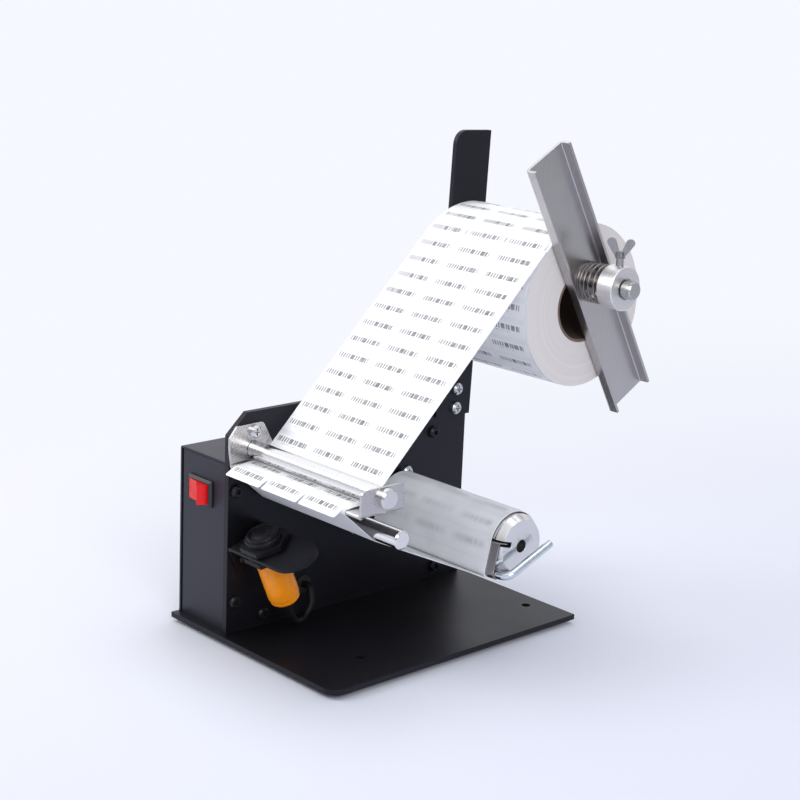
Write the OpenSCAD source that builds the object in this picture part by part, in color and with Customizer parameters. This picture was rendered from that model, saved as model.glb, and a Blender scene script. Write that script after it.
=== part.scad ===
// Desk label dispenser: a roll of labels on a high shaft, a peel bracket with a
// press roller, and a motor-driven drum that winds up the empty liner.
// Millimetres, +Z up, +X along every shaft away from the frame plate, -Y to the front.
// The origin is the centre of the base plate's underside.
// Places below are measured from the front left corner of the base plate's top.

/* [Base] */
// Width of the base plate, along X
base_w = 140; // [134:1:190]
// Depth of the base plate, along Y
base_d = 182; // [182:1:240]
// Thickness of the base plate
base_t = 3; // [2:0.5:5]
// Radius of the base plate's front right corner
base_corner_r = 8; // [3:1:14]
// Diameter of the holes for bench screws
bench_hole_d = 5; // [4:0.1:6]
// Distance between the two bench holes
bench_hole_pitch = 128; // [110:1:132]
// Distance of the bench holes from the plate's right edge
bench_hole_side = 27; // [24:1:32]
// Distance of the front bench hole from the front edge
bench_hole_front = 42; // [32:1:44]
// Diameter of a rubber foot
foot_d = 14; // [10:1:18]
// Height of a rubber foot
foot_h = 2.5; // [2:0.5:6]
// Distance of a foot's centre from the edges
foot_inset = 12; // [10:1:16]

/* [Frame plate] */
// Distance of the frame plate from the base's left edge, which is the box's width
plate_x = 42.3; // [40:0.1:60]
// Thickness of the frame plate
plate_t = 3.5; // [2.5:0.5:5]
// Distance of the frame plate from the base's front edge
plate_y = 3.5; // [3:0.5:4.5]
// Depth of the frame plate
plate_d = 176.2; // [172:0.1:178]
// Height of the frame plate
plate_h = 123.8; // [121:0.1:140]
// Depth of the chamfer at the top front corner
chamfer_d = 12; // [4:0.5:14]
// Height of the chamfer at the top front corner
chamfer_h = 11.3; // [4:0.1:14]
// Side of the angle that joins the plate and the base
angle_w = 12; // [11:1:16]
// Thickness of that angle
angle_t = 2; // [1.5:0.5:3]

/* [Arm] */
// Thickness of the arm plate
arm_t = 3; // [2:0.5:5]
// Lean of the arm to the back, in degrees
arm_lean = 2.2; // [0:0.1:4]
// Width of the arm in front of the supply shaft
arm_front = 15; // [12:0.5:17]
// Width of the arm behind the supply shaft
arm_back = 12; // [10:0.5:14]
// Length of the arm above the supply shaft
arm_above = 71.7; // [60:0.1:90]
// Length of the arm below the supply shaft
arm_below = 95.6; // [93:0.1:110]
// Radius of the arm's top front corner
arm_corner_r = 8; // [3:0.5:12]
// Distance between the two arm screws
arm_screw_pitch = 11.5; // [10:0.5:15]
// Distance of the lower arm screw from the arm's lower end
arm_screw_end = 4.5; // [4.5:0.5:7]

/* [Supply shaft and roll] */
// Diameter of the supply shaft
shaft_d = 10; // [8:0.5:11]
// Distance of the shaft's axis from the base's front edge
shaft_y = 171.5; // [170:0.5:176]
// Height of the shaft's axis above the base
shaft_z = 195.8; // [192:0.1:206]
// Length of the shaft from the arm plate
shaft_l = 126.8; // [120:0.1:140]
// Chamfer of the shaft's free end
shaft_chamfer = 0.8; // [0.4:0.1:1.5]
// Radius of the label roll
roll_r = 45; // [36:0.5:48]
// Width of the label roll and of its web
roll_w = 91; // [80:0.5:95]
// Outer radius of the roll's card core
core_r = 20.5; // [19:0.5:24]
// Wall of the roll's card core
core_t = 1.5; // [1:0.1:3]

/* [Roll guide] */
// Length of the roll guide
guide_l = 160; // [120:1:180]
// Width of the roll guide
guide_w = 30; // [26:0.5:40]
// Height of its folded long edges
guide_flange = 7; // [4:0.5:10]
// Thickness of its sheet
guide_t = 1.5; // [1:0.1:2]
// Tilt of the guide's long axis to the front, in degrees
guide_tilt = 29.8; // [0:0.1:60]
// Outer diameter of the guide spring
spring_d = 22; // [16:0.5:23]
// Wire of the guide spring
spring_wire = 1.2; // [0.8:0.1:1.4]
// Turns of the guide spring
spring_turns = 5; // [3:1:5]
// Length of the spring between the guide and the collar
spring_l = 16.5; // [14:0.1:20]
// Diameter of the shaft collar
collar_d = 24; // [20:0.5:30]
// Length of the shaft collar
collar_l = 10.5; // [8:0.5:14]
// Thread diameter of the wing screw
wing_screw_d = 4; // [3:0.5:5]
// Span of the wings
wing_span = 15; // [12:0.5:20]
// Height of the wings
wing_h = 10.5; // [8:0.5:12]
// Free length of the wing screw above the collar
wing_stem = 4; // [3:0.5:8]

/* [Peel bracket] */
// Thickness of the bracket's sheet
peel_t = 1.5; // [1:0.1:2]
// Distance between the bracket's ears
peel_w = 103.9; // [103:0.1:112]
// Distance of the peeling nose from the base's front edge
nose_y = 4; // [2:0.5:8]
// Height of the bracket's floor above the base
floor_z = 96.2; // [94:0.1:100]
// Distance of the floor's back edge from the base's front edge
floor_back = 31.5; // [29:0.5:38]
// Thickness of the rolled nose
nose_d = 2.4; // [2.2:0.1:4]
// Height of the left ear above the floor
ear_left_h = 21.6; // [20:0.1:24]
// Height of the right ear above the floor
ear_right_h = 12.9; // [12.6:0.1:18]
// Diameter of the press roller
roller_d = 10; // [7:0.5:11]
// Distance of the press roller's axis from the base's front edge
roller_y = 19.5; // [17:0.5:22]
// Height of the press roller's axis above the floor
roller_z = 7; // [6.4:0.1:8]
// Diameter of the press roller's pivots
pivot_d = 5; // [3:0.5:5]
// Diameter of the big screw head on the right ear
roller_head_d = 11; // [9:0.5:12]

/* [Liner path] */
// Thickness of the paper web
paper_t = 0.3; // [0.2:0.05:0.4]
// Diameter of the guide rod
rod_d = 10; // [8:0.5:12]
// Length of the guide rod from the frame plate
rod_l = 111.7; // [105:0.1:120]
// Distance of the guide rod's axis from the base's front edge
rod_y = 27.5; // [25:0.5:34]
// Height of the guide rod's axis above the base
rod_z = 80.8; // [78:0.1:84]
// Length of a label along the web
label_l = 8.6; // [7.6:0.1:10.6]
// Width of a label across the web
label_w = 28.4; // [24:0.1:29]
// Distance from one column of labels to the next
label_pitch = 30.1; // [29.5:0.1:30.6]
// Distance from one row of labels to the next
row_pitch = 11.7; // [11:0.1:16]
// Length of the front labels past the nose
label_out = 6.6; // [4:0.1:8]
// Droop of the front labels, in degrees
label_droop = 30; // [10:1:40]

/* [Take-up drum] */
// Diameter of the drum
drum_d = 34.4; // [30:0.2:36]
// Length of the drum
drum_l = 97.2; // [96:0.1:110]
// Distance of the drum's axis from the base's front edge
drum_y = 126.8; // [122:0.1:132]
// Height of the drum's axis above the base
drum_z = 54.4; // [50:0.1:58]
// Chamfer of the drum's outer end, across
drum_chamfer = 2.6; // [1:0.1:4]
// Chamfer of the drum's outer end, along
drum_chamfer_l = 4; // [2:0.1:5]
// Diameter of the hole in the drum's end
drum_hole_d = 7.3; // [5:0.1:9]
// Width of the drum's slot
slot_w = 3; // [2.4:0.1:4]
// Depth of the drum's slot
slot_d = 9; // [6:0.5:9.5]
// Thickness of the liner wound on the drum
wound_t = 0.5; // [0.4:0.1:3]
// Diameter of the clip's wire
clip_d = 4.5; // [3.5:0.1:5]
// Distance of the clip's wire from the drum's axis
clip_r = 21.7; // [21:0.1:24]
// Bend radius of the clip's wire
clip_bend = 6; // [4:0.5:8]
// Length of the clip's handle from the bend
clip_handle = 29; // [20:0.5:38]
// Thickness of the clip's leaf
leaf_t = 0.5; // [0.4:0.1:0.8]
// Diameter of the drum's drive shaft
drive_d = 8; // [6:0.5:9]

/* [Control box] */
// Height of the control box above the base
box_h = 96.6; // [94:0.1:98]
// Distance of the box from the base's front edge
box_y = 5.3; // [4.8:0.1:8]
// Depth of the box
box_d = 173.7; // [165:0.1:174]
// Sheet of the box
box_t = 1.2; // [0.8:0.1:1.6]
// Radius of the box's folds
box_r = 1.5; // [1.4:0.1:4]
// Width of the box's inner flanges
flange_w = 12; // [11:0.5:16]
// Width of the switch's frame
switch_w = 21; // [20:0.5:24]
// Height of the switch's frame
switch_h = 15; // [14.5:0.5:18]
// Height of the switch's centre above the base
switch_z = 75.4; // [60:0.1:82]
// Distance of the switch's centre from the base's left edge
switch_x = 19.2; // [16:0.1:24]
// Tilt of the rocker, in degrees
rocker_tilt = 21; // [10:1:24]
// Diameter of the power inlet's opening
inlet_d = 5.6; // [5:0.1:6.5]
// Height of the power inlet above the base
inlet_z = 22; // [18:1:60]

/* [Sensor] */
// Diameter of the sensor's barrel
sensor_d = 18; // [12:0.5:20]
// Length of the black barrel
barrel_l = 15.4; // [15.2:0.1:20]
// Length of the orange rear
rear_l = 30.1; // [22:0.1:34]
// Length of the stepped ring at the orange rear's end
rear_ring = 3.4; // [2:0.1:5]
// Length of the barrel above the bracket
barrel_above = 8.7; // [7:0.1:11]
// Tilt of the sensor to the front, in degrees
sensor_tilt = 23; // [15:1:30]
// Distance of the sensor's axis from the frame plate
sensor_out = 20.2; // [18:0.1:26]
// Distance of the sensor's hole from the base's front edge
sensor_y = 14; // [12:0.5:18]
// Height of the sensor's hole above the base
sensor_z = 55.3; // [52:0.1:58]
// Width of the sensor bracket
bracket_w = 26; // [25:0.5:32]
// Reach of the sensor bracket from the frame plate
bracket_l = 55; // [48:0.5:62]
// Thickness of the sensor bracket
bracket_t = 2; // [1.5:0.5:3]
// Height of the bracket's tab on the frame plate
bracket_tab = 17; // [14:0.5:20]
// Size of a sensor nut across its flats
nut_af = 24; // [22:0.5:26]
// Thickness of a sensor nut
nut_t = 4; // [3:0.5:5]
// Height of the round collar on the upper nut
nut_collar = 3; // [2:0.1:4]
// Diameter of the sensor's cable
cable_d = 4; // [3:0.5:4.5]

/* [Screws] */
// Thread diameter of the plate screws
screw_d = 4; // [3:0.5:4.5]
// Diameter of a plate screw's head
head_d = 7.2; // [6.4:0.1:8.4]
// Height of a plate screw's head
head_h = 2.6; // [2:0.1:3.2]

/* [Hidden] */
$fn = 64;

// Clearances
seat_gap = 0.3;      // between curved faces of different pieces
run_gap = 0.05;      // radial, of a shaft in its bore
screw_gap = 0.15;    // radial, of a screw in its hole
lap = 0.01;          // how far a cut runs past a face

// Places along X, from the base's left edge
plate_face = plate_x + plate_t;          // right face of the frame plate
arm_face = plate_face + arm_t;           // right face of the arm
roll_x = arm_face + seat_gap;            // left side of the roll and of the web
roll_end = roll_x + roll_w;
guide_x = roll_end + seat_gap;           // left face of the roll guide
collar_x = guide_x + guide_t + spring_l; // left face of the collar
ear_in = plate_face + peel_t;            // inner face of the left ear
ear_out = ear_in + peel_w;               // inner face of the right ear

// Places in the side view
core_z = shaft_z + shaft_d / 2 + seat_gap - (core_r - core_t);  // the core hangs on the shaft
roller_axis_z = floor_z + roller_z;
nose_z = floor_z - nose_d / 2;
clip_angle = 34.9;                        // of the clip's wire below the drum's front
clip_y = drum_y - clip_r * cos(clip_angle);
clip_z = drum_z - clip_r * sin(clip_angle);

// ---------------------------------------------------------------- helpers

// Moves from the front left corner of the base's top to the origin
module placed() {
  translate([-base_w / 2, -base_d / 2, base_t]) children();
}

// Extrudes an outline given in Y and Z from x0 to x1
module along_x(x0, x1) {
  translate([x0, 0, 0]) rotate([90, 0, 90]) linear_extrude(x1 - x0) children();
}

// Extrudes an outline given in X and Z from y0 to y1
module along_y(y0, y1) {
  translate([0, y1, 0]) rotate([90, 0, 0]) linear_extrude(y1 - y0) children();
}

// A round bar along X
module bar_x(d, x0, x1, y, z) {
  translate([x0, y, z]) rotate([0, 90, 0]) cylinder(d = d, h = x1 - x0);
}

// A round bar along X with a chamfered right end
module chamfered_bar_x(d, x0, x1, y, z, c) {
  translate([x0, y, z]) rotate([0, 90, 0]) {
    cylinder(d = d, h = x1 - x0 - c);
    translate([0, 0, x1 - x0 - c]) cylinder(d1 = d, d2 = d - 2 * c, h = c);
  }
}

// A rectangle whose corners in the list are rounded: 0 is low left, counting against the clock
module corner_cut(r) {
  difference() {
    translate([-lap, -lap]) square(r + lap);
    translate([r, r]) circle(r);
  }
}
module rounded_rect(w, h, r, corners = [0, 1, 2, 3]) {
  difference() {
    square([w, h]);
    for (i = corners) {
      translate([(i == 1 || i == 2) ? w : 0, i > 1 ? h : 0])
        mirror([(i == 1 || i == 2) ? 1 : 0, 0]) mirror([0, i > 1 ? 1 : 0])
          corner_cut(r);
    }
  }
}

// A sheet folded along its edges: the outline of the given size, t thick, open at the bottom
module folded_u(w, h, t, r) {
  difference() {
    rounded_rect(w, h, r, [2, 3]);
    translate([t, -lap]) rounded_rect(w - 2 * t, h - t + lap, r - t, [2, 3]);
  }
}

// A screw along -X from the face at the origin, with its head on the +X side
module screw(len, recess, d = screw_d, hd = head_d, hh = head_h) {
  difference() {
    union() {
      rotate([0, 90, 0]) cylinder(d = hd, h = hh * 0.6);
      translate([hh * 0.6, 0, 0]) rotate([0, 90, 0]) cylinder(d1 = hd, d2 = hd * 0.72, h = hh * 0.4);
      translate([-len, 0, 0]) rotate([0, 90, 0]) cylinder(d = d, h = len + lap);
    }
    if (recess == "hex") {
      translate([hh * 0.45, 0, 0]) rotate([0, 90, 0]) cylinder(d = hd * 0.45, h = hh, $fn = 6);
    }
    if (recess == "cross") {
      for (a = [0, 90]) {
        translate([hh * 0.75, 0, 0]) rotate([a, 0, 0])
          cube([hh, hd * 0.55, hd * 0.14], center = true);
      }
    }
  }
}

// A point on a circle in the side view
function on_circle(c, r, a) = [c[0] + r * cos(a), c[1] + r * sin(a)];

// The points of an arc from angle a0 to a1
function arc(c, r, a0, a1, n = 10) = [for (i = [0:n]) on_circle(c, r, a0 + (a1 - a0) * i / n)];

// A ribbon of the given thickness on the left of a path, or on its right if t is negative
function unit(v) = v / norm(v);
function left_of(p, i) =
  let (a = p[max(i - 1, 0)], b = p[min(i + 1, len(p) - 1)], d = unit(b - a)) [-d[1], d[0]];
function ribbon(p, t) = concat(p, [for (i = [len(p) - 1:-1:0]) p[i] + t * left_of(p, i)]);

// ---------------------------------------------------------------- base and frame

foot_places = [for (x = [foot_inset, base_w - foot_inset], y = [foot_inset, base_d - foot_inset]) [x, y]];
bench_hole_x = base_w - bench_hole_side;
bench_holes = [for (i = [0, 1]) [bench_hole_x, bench_hole_front + i * bench_hole_pitch]];
panel_gap = 0.4;                          // between the cover and the panels
angle_y0 = box_y + panel_gap + flange_w + seat_gap;   // the angle ends at the panels' flanges
angle_y1 = box_y + box_d - panel_gap - flange_w - seat_gap;
base_screw_y = [angle_y0 + 6, (angle_y0 + angle_y1) / 2, angle_y1 - 6];   // from below into the angle

module base_plate() {
  color("#4a4a54") placed() translate([0, 0, -base_t]) difference() {
    linear_extrude(base_t) rounded_rect(base_w, base_d, base_corner_r, [1]);
    for (p = bench_holes) translate([p[0], p[1], -lap]) cylinder(d = bench_hole_d, h = base_t + 2 * lap);
    for (y = base_screw_y) {
      translate([base_screw_x, y, -lap]) cylinder(d = base_screw_d + 2 * screw_gap, h = base_t + 2 * lap);
      translate([base_screw_x, y, -lap]) cylinder(d = base_head_d, h = base_head_h + lap);
    }
  }
}

base_screw_x = plate_x - angle_w / 2 - 1;
base_screw_d = 3;
base_head_d = 5.6;
base_head_h = 1.6;
module base_screws() {
  color("#303038") placed() for (y = base_screw_y) translate([base_screw_x, y, -base_t]) {
    difference() {
      translate([0, 0, 0.2]) cylinder(d = base_head_d - 0.3, h = base_head_h - 0.2);
      translate([0, 0, 0.1]) cylinder(d = 2.2, h = 0.9, $fn = 6);
    }
    translate([0, 0, base_head_h - lap]) cylinder(d = base_screw_d, h = base_t - base_head_h + angle_t + 2);
  }
}

module rubber_feet() {
  color("#202024") placed() for (p = foot_places) {
    translate([p[0], p[1], -base_t - foot_h]) cylinder(d1 = foot_d - 1.6, d2 = foot_d, h = foot_h);
  }
}

// Screws on the right face of the frame plate, in Y and Z
panel_screw_y = box_y + 3.2;
panel_screws = [[panel_screw_y, 81.2], [panel_screw_y, 18.2]];
angle_screws = [[angle_y0 + 10.3, angle_w * 0.6], [angle_y1 - 7.3, angle_w * 0.6]];
cover_screw = [box_y + box_d - panel_gap - flange_w - 12.9, box_h - 5.2];   // in front of the rear panel's flange
tab_screws = [for (v = [-6, 7]) [v, -11]];       // along the sensor bracket's tab
arm_screw_v = [for (i = [0, 1]) -(arm_below - arm_screw_end - i * arm_screw_pitch)];
ear_hole = [roller_y - 0.3, floor_z + ear_left_h - 4.6];
motor_mid = [drum_y - 12.9, drum_z + 2.8];       // middle of the gear motor's face
motor_screws_at = [motor_mid + [19.8, 13.4], motor_mid - [19.8, 13.4]];
cable_hole = [57, 18];
grommet_d = cable_d + 4;
bush_d = drive_d + 4;

function arm_point(u, v) = [
  shaft_y + u * cos(arm_lean) + v * sin(arm_lean),
  shaft_z - u * sin(arm_lean) + v * cos(arm_lean)
];
function tab_point(p) = [
  sensor_y + p[0] * cos(sensor_tilt) - p[1] * sin(sensor_tilt),
  sensor_z + p[0] * sin(sensor_tilt) + p[1] * cos(sensor_tilt)
];

module plate_hole(p, d) {
  translate([plate_x - lap, p[0], p[1]]) rotate([0, 90, 0]) cylinder(d = d, h = plate_t + 2 * lap);
}

module frame_plate() {
  color("#3a3a44") placed() difference() {
    along_x(plate_x, plate_face) polygon([
      [plate_y, 0], [plate_y + plate_d, 0], [plate_y + plate_d, plate_h],
      [plate_y + chamfer_d, plate_h], [plate_y, plate_h - chamfer_h]
    ]);
    for (p = concat(panel_screws, angle_screws, [cover_screw, ear_hole], motor_screws_at))
      plate_hole(p, screw_d + 2 * screw_gap);
    for (p = tab_screws) plate_hole(tab_point(p), tab_screw_d + 2 * screw_gap);
    for (v = arm_screw_v) plate_hole(arm_point(0, v), screw_d + 2 * screw_gap);
    plate_hole([rod_y, rod_z], tenon_d + 2 * screw_gap);
    plate_hole([drum_y, drum_z], bush_d + 0.1);
    plate_hole(cable_hole, grommet_d);
  }
}

module frame_angle() {
  color("#8d8f96") placed() difference() {
    along_y(angle_y0, angle_y1) translate([plate_x - angle_w, 0]) difference() {
      rounded_rect(angle_w, angle_w, 1, [1]);
      translate([-lap, angle_t]) rounded_rect(angle_w - angle_t + lap, angle_w, 1, [1]);
    }
    for (p = angle_screws)
      translate([plate_x - angle_t - lap, p[0], p[1]]) rotate([0, 90, 0])
        cylinder(d = screw_d + 2 * run_gap, h = angle_t + 2 * lap);
    for (y = base_screw_y)
      translate([base_screw_x, y, -lap]) cylinder(d = base_screw_d + 2 * run_gap, h = angle_t + 2 * lap);
  }
}

module arm_plate() {
  color("#2c2c34") placed() difference() {
    along_x(plate_face, arm_face) translate([shaft_y, shaft_z]) rotate(-arm_lean)
      translate([-arm_front, -arm_below])
        rounded_rect(arm_front + arm_back, arm_below + arm_above, arm_corner_r, [3]);
    translate([plate_face - lap, shaft_y, shaft_z]) rotate([0, 90, 0])
      cylinder(d = tenon_d + 2 * screw_gap, h = arm_t + 2 * lap);
    for (v = arm_screw_v) translate([plate_face - lap, arm_point(0, v)[0], arm_point(0, v)[1]])
      rotate([0, 90, 0]) cylinder(d = screw_d + 2 * screw_gap, h = arm_t + 2 * lap);
  }
}

// ---------------------------------------------------------------- screws

module plate_screws(points, len, recess, x = plate_face) {
  for (p = points) translate([x, p[0], p[1]]) screw(len, recess);
}

tab_screw_d = 3;
small_head_d = 5.4;
small_head_h = 1.8;
module frame_screws() {
  color("#1c1c20") placed() {
    plate_screws(panel_screws, plate_t + box_t, "hex");
    plate_screws([cover_screw], plate_t + box_t + 2, "hex");
    plate_screws(angle_screws, plate_t + angle_t + 1, "hex");
    for (p = tab_screws) translate([plate_face + bracket_t, tab_point(p)[0], tab_point(p)[1]])
      screw(bracket_t + plate_t - 0.4, "hex", tab_screw_d, small_head_d, small_head_h);
  }
}

module motor_screws() {
  color("#c8c8cc") placed() plate_screws(motor_screws_at, plate_t + 5, "cross");
}

module arm_screws() {
  color("#c8c8cc") placed()
    plate_screws([for (v = arm_screw_v) arm_point(0, v)], arm_t + plate_t + 3, "cross", arm_face);
}

module ear_screw() {
  color("#d0d0d4") placed() {
    plate_screws([ear_hole], peel_t + plate_t + 4, "cross", ear_in);
  }
}

// ---------------------------------------------------------------- supply shaft and roll

tenon_d = 6;
nut6_af = 10;
nut6_t = 5;
module tenon_shaft(d, face, x1, y, z, c, plate) {
  chamfered_bar_x(d, face, x1, y, z, c);
  bar_x(tenon_d, face - plate - nut6_t - 1, face + lap, y, z);
}

module supply_shaft() {
  color("#d6d6da") placed()
    tenon_shaft(shaft_d, arm_face, arm_face + shaft_l, shaft_y, shaft_z, shaft_chamfer, arm_t);
}

// The nuts on the tenons of the supply shaft and the guide rod, and on the ear screw
module hex_nut(af, t, bore) {
  difference() {
    rotate([0, 90, 0]) cylinder(d = af / cos(30), h = t, $fn = 6);
    translate([-lap, 0, 0]) rotate([0, 90, 0]) cylinder(d = bore, h = t + 2 * lap);
  }
}
module shaft_nuts() {
  color("#b8b8bc") placed() {
    translate([plate_face - nut6_t, shaft_y, shaft_z]) hex_nut(nut6_af, nut6_t, tenon_d + 2 * run_gap);
    translate([plate_x - nut6_t, rod_y, rod_z]) hex_nut(nut6_af, nut6_t, tenon_d + 2 * run_gap);
    translate([plate_x - 3.2, ear_hole[0], ear_hole[1]]) hex_nut(7, 3.2, screw_d + 2 * run_gap);
    for (v = arm_screw_v) translate([plate_x - 3.2, arm_point(0, v)[0], arm_point(0, v)[1]])
      hex_nut(7, 3.2, screw_d + 2 * run_gap);
  }
}

module label_roll() {
  color("#f2f1f4") placed() difference() {
    bar_x(2 * roll_r, roll_x, roll_end, shaft_y, core_z);
    bar_x(2 * (core_r + run_gap), roll_x - 1, roll_end + 1, shaft_y, core_z);
  }
}

module roll_core() {
  color("#b98a5c") placed() difference() {
    bar_x(2 * core_r, roll_x, roll_end, shaft_y, core_z);
    bar_x(2 * (core_r - core_t), roll_x - 1, roll_end + 1, shaft_y, core_z);
  }
}

// ---------------------------------------------------------------- roll guide

module roll_guide() {
  color("#b9b9be") placed() translate([guide_x, shaft_y, shaft_z]) rotate([guide_tilt, 0, 0])
    difference() {
      translate([0, 0, -guide_l / 2]) linear_extrude(guide_l) rotate(-90)
        translate([-guide_w / 2, 0]) guide_section();
      translate([-lap, 0, 0]) rotate([0, 90, 0])
        cylinder(d = shaft_d + 2 * run_gap, h = guide_t + 2 * lap);
    }
}

// Across the guide: its web at Y = 0, its edges folded up
module guide_section() {
  fold = guide_t + 0.8;
  difference() {
    rounded_rect(guide_w, guide_flange, fold, [0, 1]);
    translate([guide_t, guide_t]) rounded_rect(guide_w - 2 * guide_t, guide_flange, fold - guide_t, [0, 1]);
  }
}

// The spring is one tube along a helix whose pitch grows towards the collar
spring_rings = 8;
spring_sides = 6;
spring_r = (spring_d - spring_wire) / 2;
spring_run = spring_l - spring_wire - 2 * seat_gap;
spring_grow = 0.42;                       // share by which the last pitch is over the mean
function spring_x(t) = spring_run * ((1 - spring_grow) * t + spring_grow * t * t);
function spring_at(t) = [
  guide_x + guide_t + seat_gap + spring_wire / 2 + spring_x(t),
  shaft_y + spring_r * cos(360 * spring_turns * t),
  shaft_z + spring_r * sin(360 * spring_turns * t)
];
spring_n = spring_rings * spring_turns;
spring_points = [for (i = [0:spring_n]) spring_at(i / spring_n)];
function spring_ring(i) =
  let (
    a = 360 * spring_turns * i / spring_n,
    c = spring_points[i],
    out = [0, cos(a), sin(a)],
    w = spring_wire / 2
  )
  [for (k = [0:spring_sides - 1]) c + w * (cos(360 * k / spring_sides) * out + sin(360 * k / spring_sides) * [1, 0, 0])];

// A closed tube from rings that all have the same number of points, as triangles
function tube_faces(rings, sides) = concat(
  [for (k = [1:sides - 2]) [0, k, k + 1]],
  [for (i = [0:rings - 2], k = [0:sides - 1], h = [0, 1])
    let (a = i * sides + k, b = i * sides + (k + 1) % sides)
    h == 0 ? [a, a + sides, b] : [b, a + sides, b + sides]],
  [for (k = [1:sides - 2]) [(rings - 1) * sides, (rings - 1) * sides + k + 1, (rings - 1) * sides + k]]
);
module tube(rings) {
  polyhedron(
    points = [for (r = rings) for (p = r) p],
    faces = tube_faces(len(rings), len(rings[0])),
    convexity = 10
  );
}

module guide_spring() {
  color("#8a8a90") placed() tube([for (i = [0:spring_n]) spring_ring(i)]);
}

spring_gap = min([for (i = [0:spring_n - spring_rings]) norm(spring_points[i] - spring_points[i + spring_rings])])
  - spring_wire;
echo(spring_least_gap = spring_gap);

collar_relief = 0.8;
module shaft_collar() {
  color("#c9c9cd") placed() difference() {
    union() {
      bar_x(collar_d - 1, collar_x, collar_x + 0.5, shaft_y, shaft_z);
      chamfered_bar_x(collar_d, collar_x + 0.5, collar_x + collar_l, shaft_y, shaft_z, 0.5);
    }
    bar_x(shaft_d + 2 * run_gap, collar_x - 1, collar_x + collar_l + 1, shaft_y, shaft_z);
    // relief round the shaft in the outer face
    bar_x(shaft_d + 2 * collar_relief, collar_x + collar_l - 1.2, collar_x + collar_l + 1, shaft_y, shaft_z);
    translate([collar_x + collar_l / 2, shaft_y, shaft_z])
      cylinder(d = wing_screw_d + 2 * run_gap, h = collar_d);
  }
}

// Two flat wings with round tips, seen along Y, over a boss at the origin
wing_tip_r = 2.3;
wing_t = 1.8;
wing_turn = 23;                           // of the wings from the shaft's direction
module wing_outline() {
  for (s = [-1, 1]) {
    tip = [s * (wing_span / 2 - wing_tip_r), wing_h - wing_tip_r];
    translate(tip) circle(wing_tip_r);
    polygon([
      [0, 0.5], [s * 2.6, 0.6], [s * 3.9, 2.4], tip + [s * wing_tip_r * cos(22), -wing_tip_r * sin(22)],
      tip + [-s * wing_tip_r * cos(22), wing_tip_r * sin(22)], [s * 1.2, 4], [0, 3.4]
    ]);
  }
}
module wing_screw() {
  boss_z = collar_d / 2 + wing_stem;
  color("#bfbfc4") placed() translate([collar_x + collar_l / 2, shaft_y, shaft_z]) rotate([0, 0, wing_turn]) {
    translate([0, 0, shaft_d / 2 + seat_gap])
      cylinder(d = wing_screw_d, h = boss_z - shaft_d / 2 - seat_gap + lap);
    translate([0, 0, boss_z]) {
      cylinder(d1 = wing_screw_d + 1.6, d2 = wing_screw_d + 0.8, h = 3.2);
      along_y(-wing_t / 2, wing_t / 2) wing_outline();
    }
  }
}

// ---------------------------------------------------------------- peel bracket

peel_fold = peel_t + 0.8;
// The left ear leans forward, is cut off at the top front, and slopes down to the back
module left_ear() {
  top = floor_z + ear_left_h;
  polygon([
    [nose_y, floor_z - peel_t], [floor_back, floor_z - peel_t], [floor_back, top - 11.6],
    [floor_back - 5.4, top - 1.6], [floor_back - 6.4, top - 0.4], [floor_back - 8, top],
    [nose_y + 4.2, top - 0.3], [nose_y + 3.4, top - 0.8], [nose_y - 1.5, top - 7], [nose_y - 0.2, floor_z + 2]
  ]);
}
// The right ear is low, with a round top front corner
module right_ear() {
  translate([nose_y - 0.6, floor_z - peel_t])
    rounded_rect(floor_back - nose_y + 0.6, ear_right_h + peel_t, 3, [3]);
}

module peel_bracket() {
  color("#c4c3c8") placed() difference() {
    union() {
      intersection() {
        along_y(nose_y - 1, floor_back) translate([plate_face, floor_z - peel_t])
          mirror([0, 1]) translate([0, -ear_left_h - peel_t])
            folded_u(peel_w + 2 * peel_t, ear_left_h + peel_t, peel_t, peel_fold);
        union() {
          along_x(plate_face - 1, ear_in + 1) left_ear();
          along_x(ear_in + 0.5, ear_out - 0.5) translate([nose_y + nose_d / 2, floor_z - peel_t - 1])
            square([floor_back - nose_y - nose_d / 2, peel_t + 3]);
          along_x(ear_out - 1, ear_out + peel_t + 1) right_ear();
        }
      }
      bar_x(nose_d, ear_in + 0.6, ear_out - 0.6, nose_y + nose_d / 2, nose_z);
    }
    translate([plate_face - lap, ear_hole[0], ear_hole[1]]) rotate([0, 90, 0])
      cylinder(d = screw_d + 2 * screw_gap, h = peel_t + 2 * lap);
    for (x = [plate_face, ear_out]) translate([x - lap, roller_y, roller_axis_z]) rotate([0, 90, 0])
      cylinder(d = pivot_d + 2 * run_gap, h = peel_t + 2 * lap);
  }
}

roller_x0 = ear_in + seat_gap;
roller_x1 = ear_out - seat_gap;
pivot_l = 9;
module press_roller() {
  color("#d9d9dd") placed() difference() {
    bar_x(roller_d, roller_x0, roller_x1, roller_y, roller_axis_z);
    bar_x(pivot_d + 2 * run_gap, roller_x0 - 1, roller_x0 + pivot_l + 1, roller_y, roller_axis_z);
    bar_x(pivot_d + 2 * run_gap, roller_x1 - pivot_l - 1, roller_x1 + 1, roller_y, roller_axis_z);
  }
}

module roller_pin() {
  color("#c8c8cc") placed()
    bar_x(pivot_d, plate_face, roller_x0 + pivot_l, roller_y, roller_axis_z);
}

module roller_screw() {
  color("#cfcfd3") placed() {
    bar_x(pivot_d, roller_x1 - pivot_l, ear_out + peel_t + lap, roller_y, roller_axis_z);
    chamfered_bar_x(roller_head_d, ear_out + peel_t, ear_out + peel_t + 3.6, roller_y, roller_axis_z, 0.9);
  }
}

module guide_rod() {
  color("#d9d9dd") placed()
    tenon_shaft(rod_d, plate_face, plate_face + rod_l, rod_y, rod_z, 0.8, plate_t);
}

// ---------------------------------------------------------------- web, labels and liner

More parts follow.
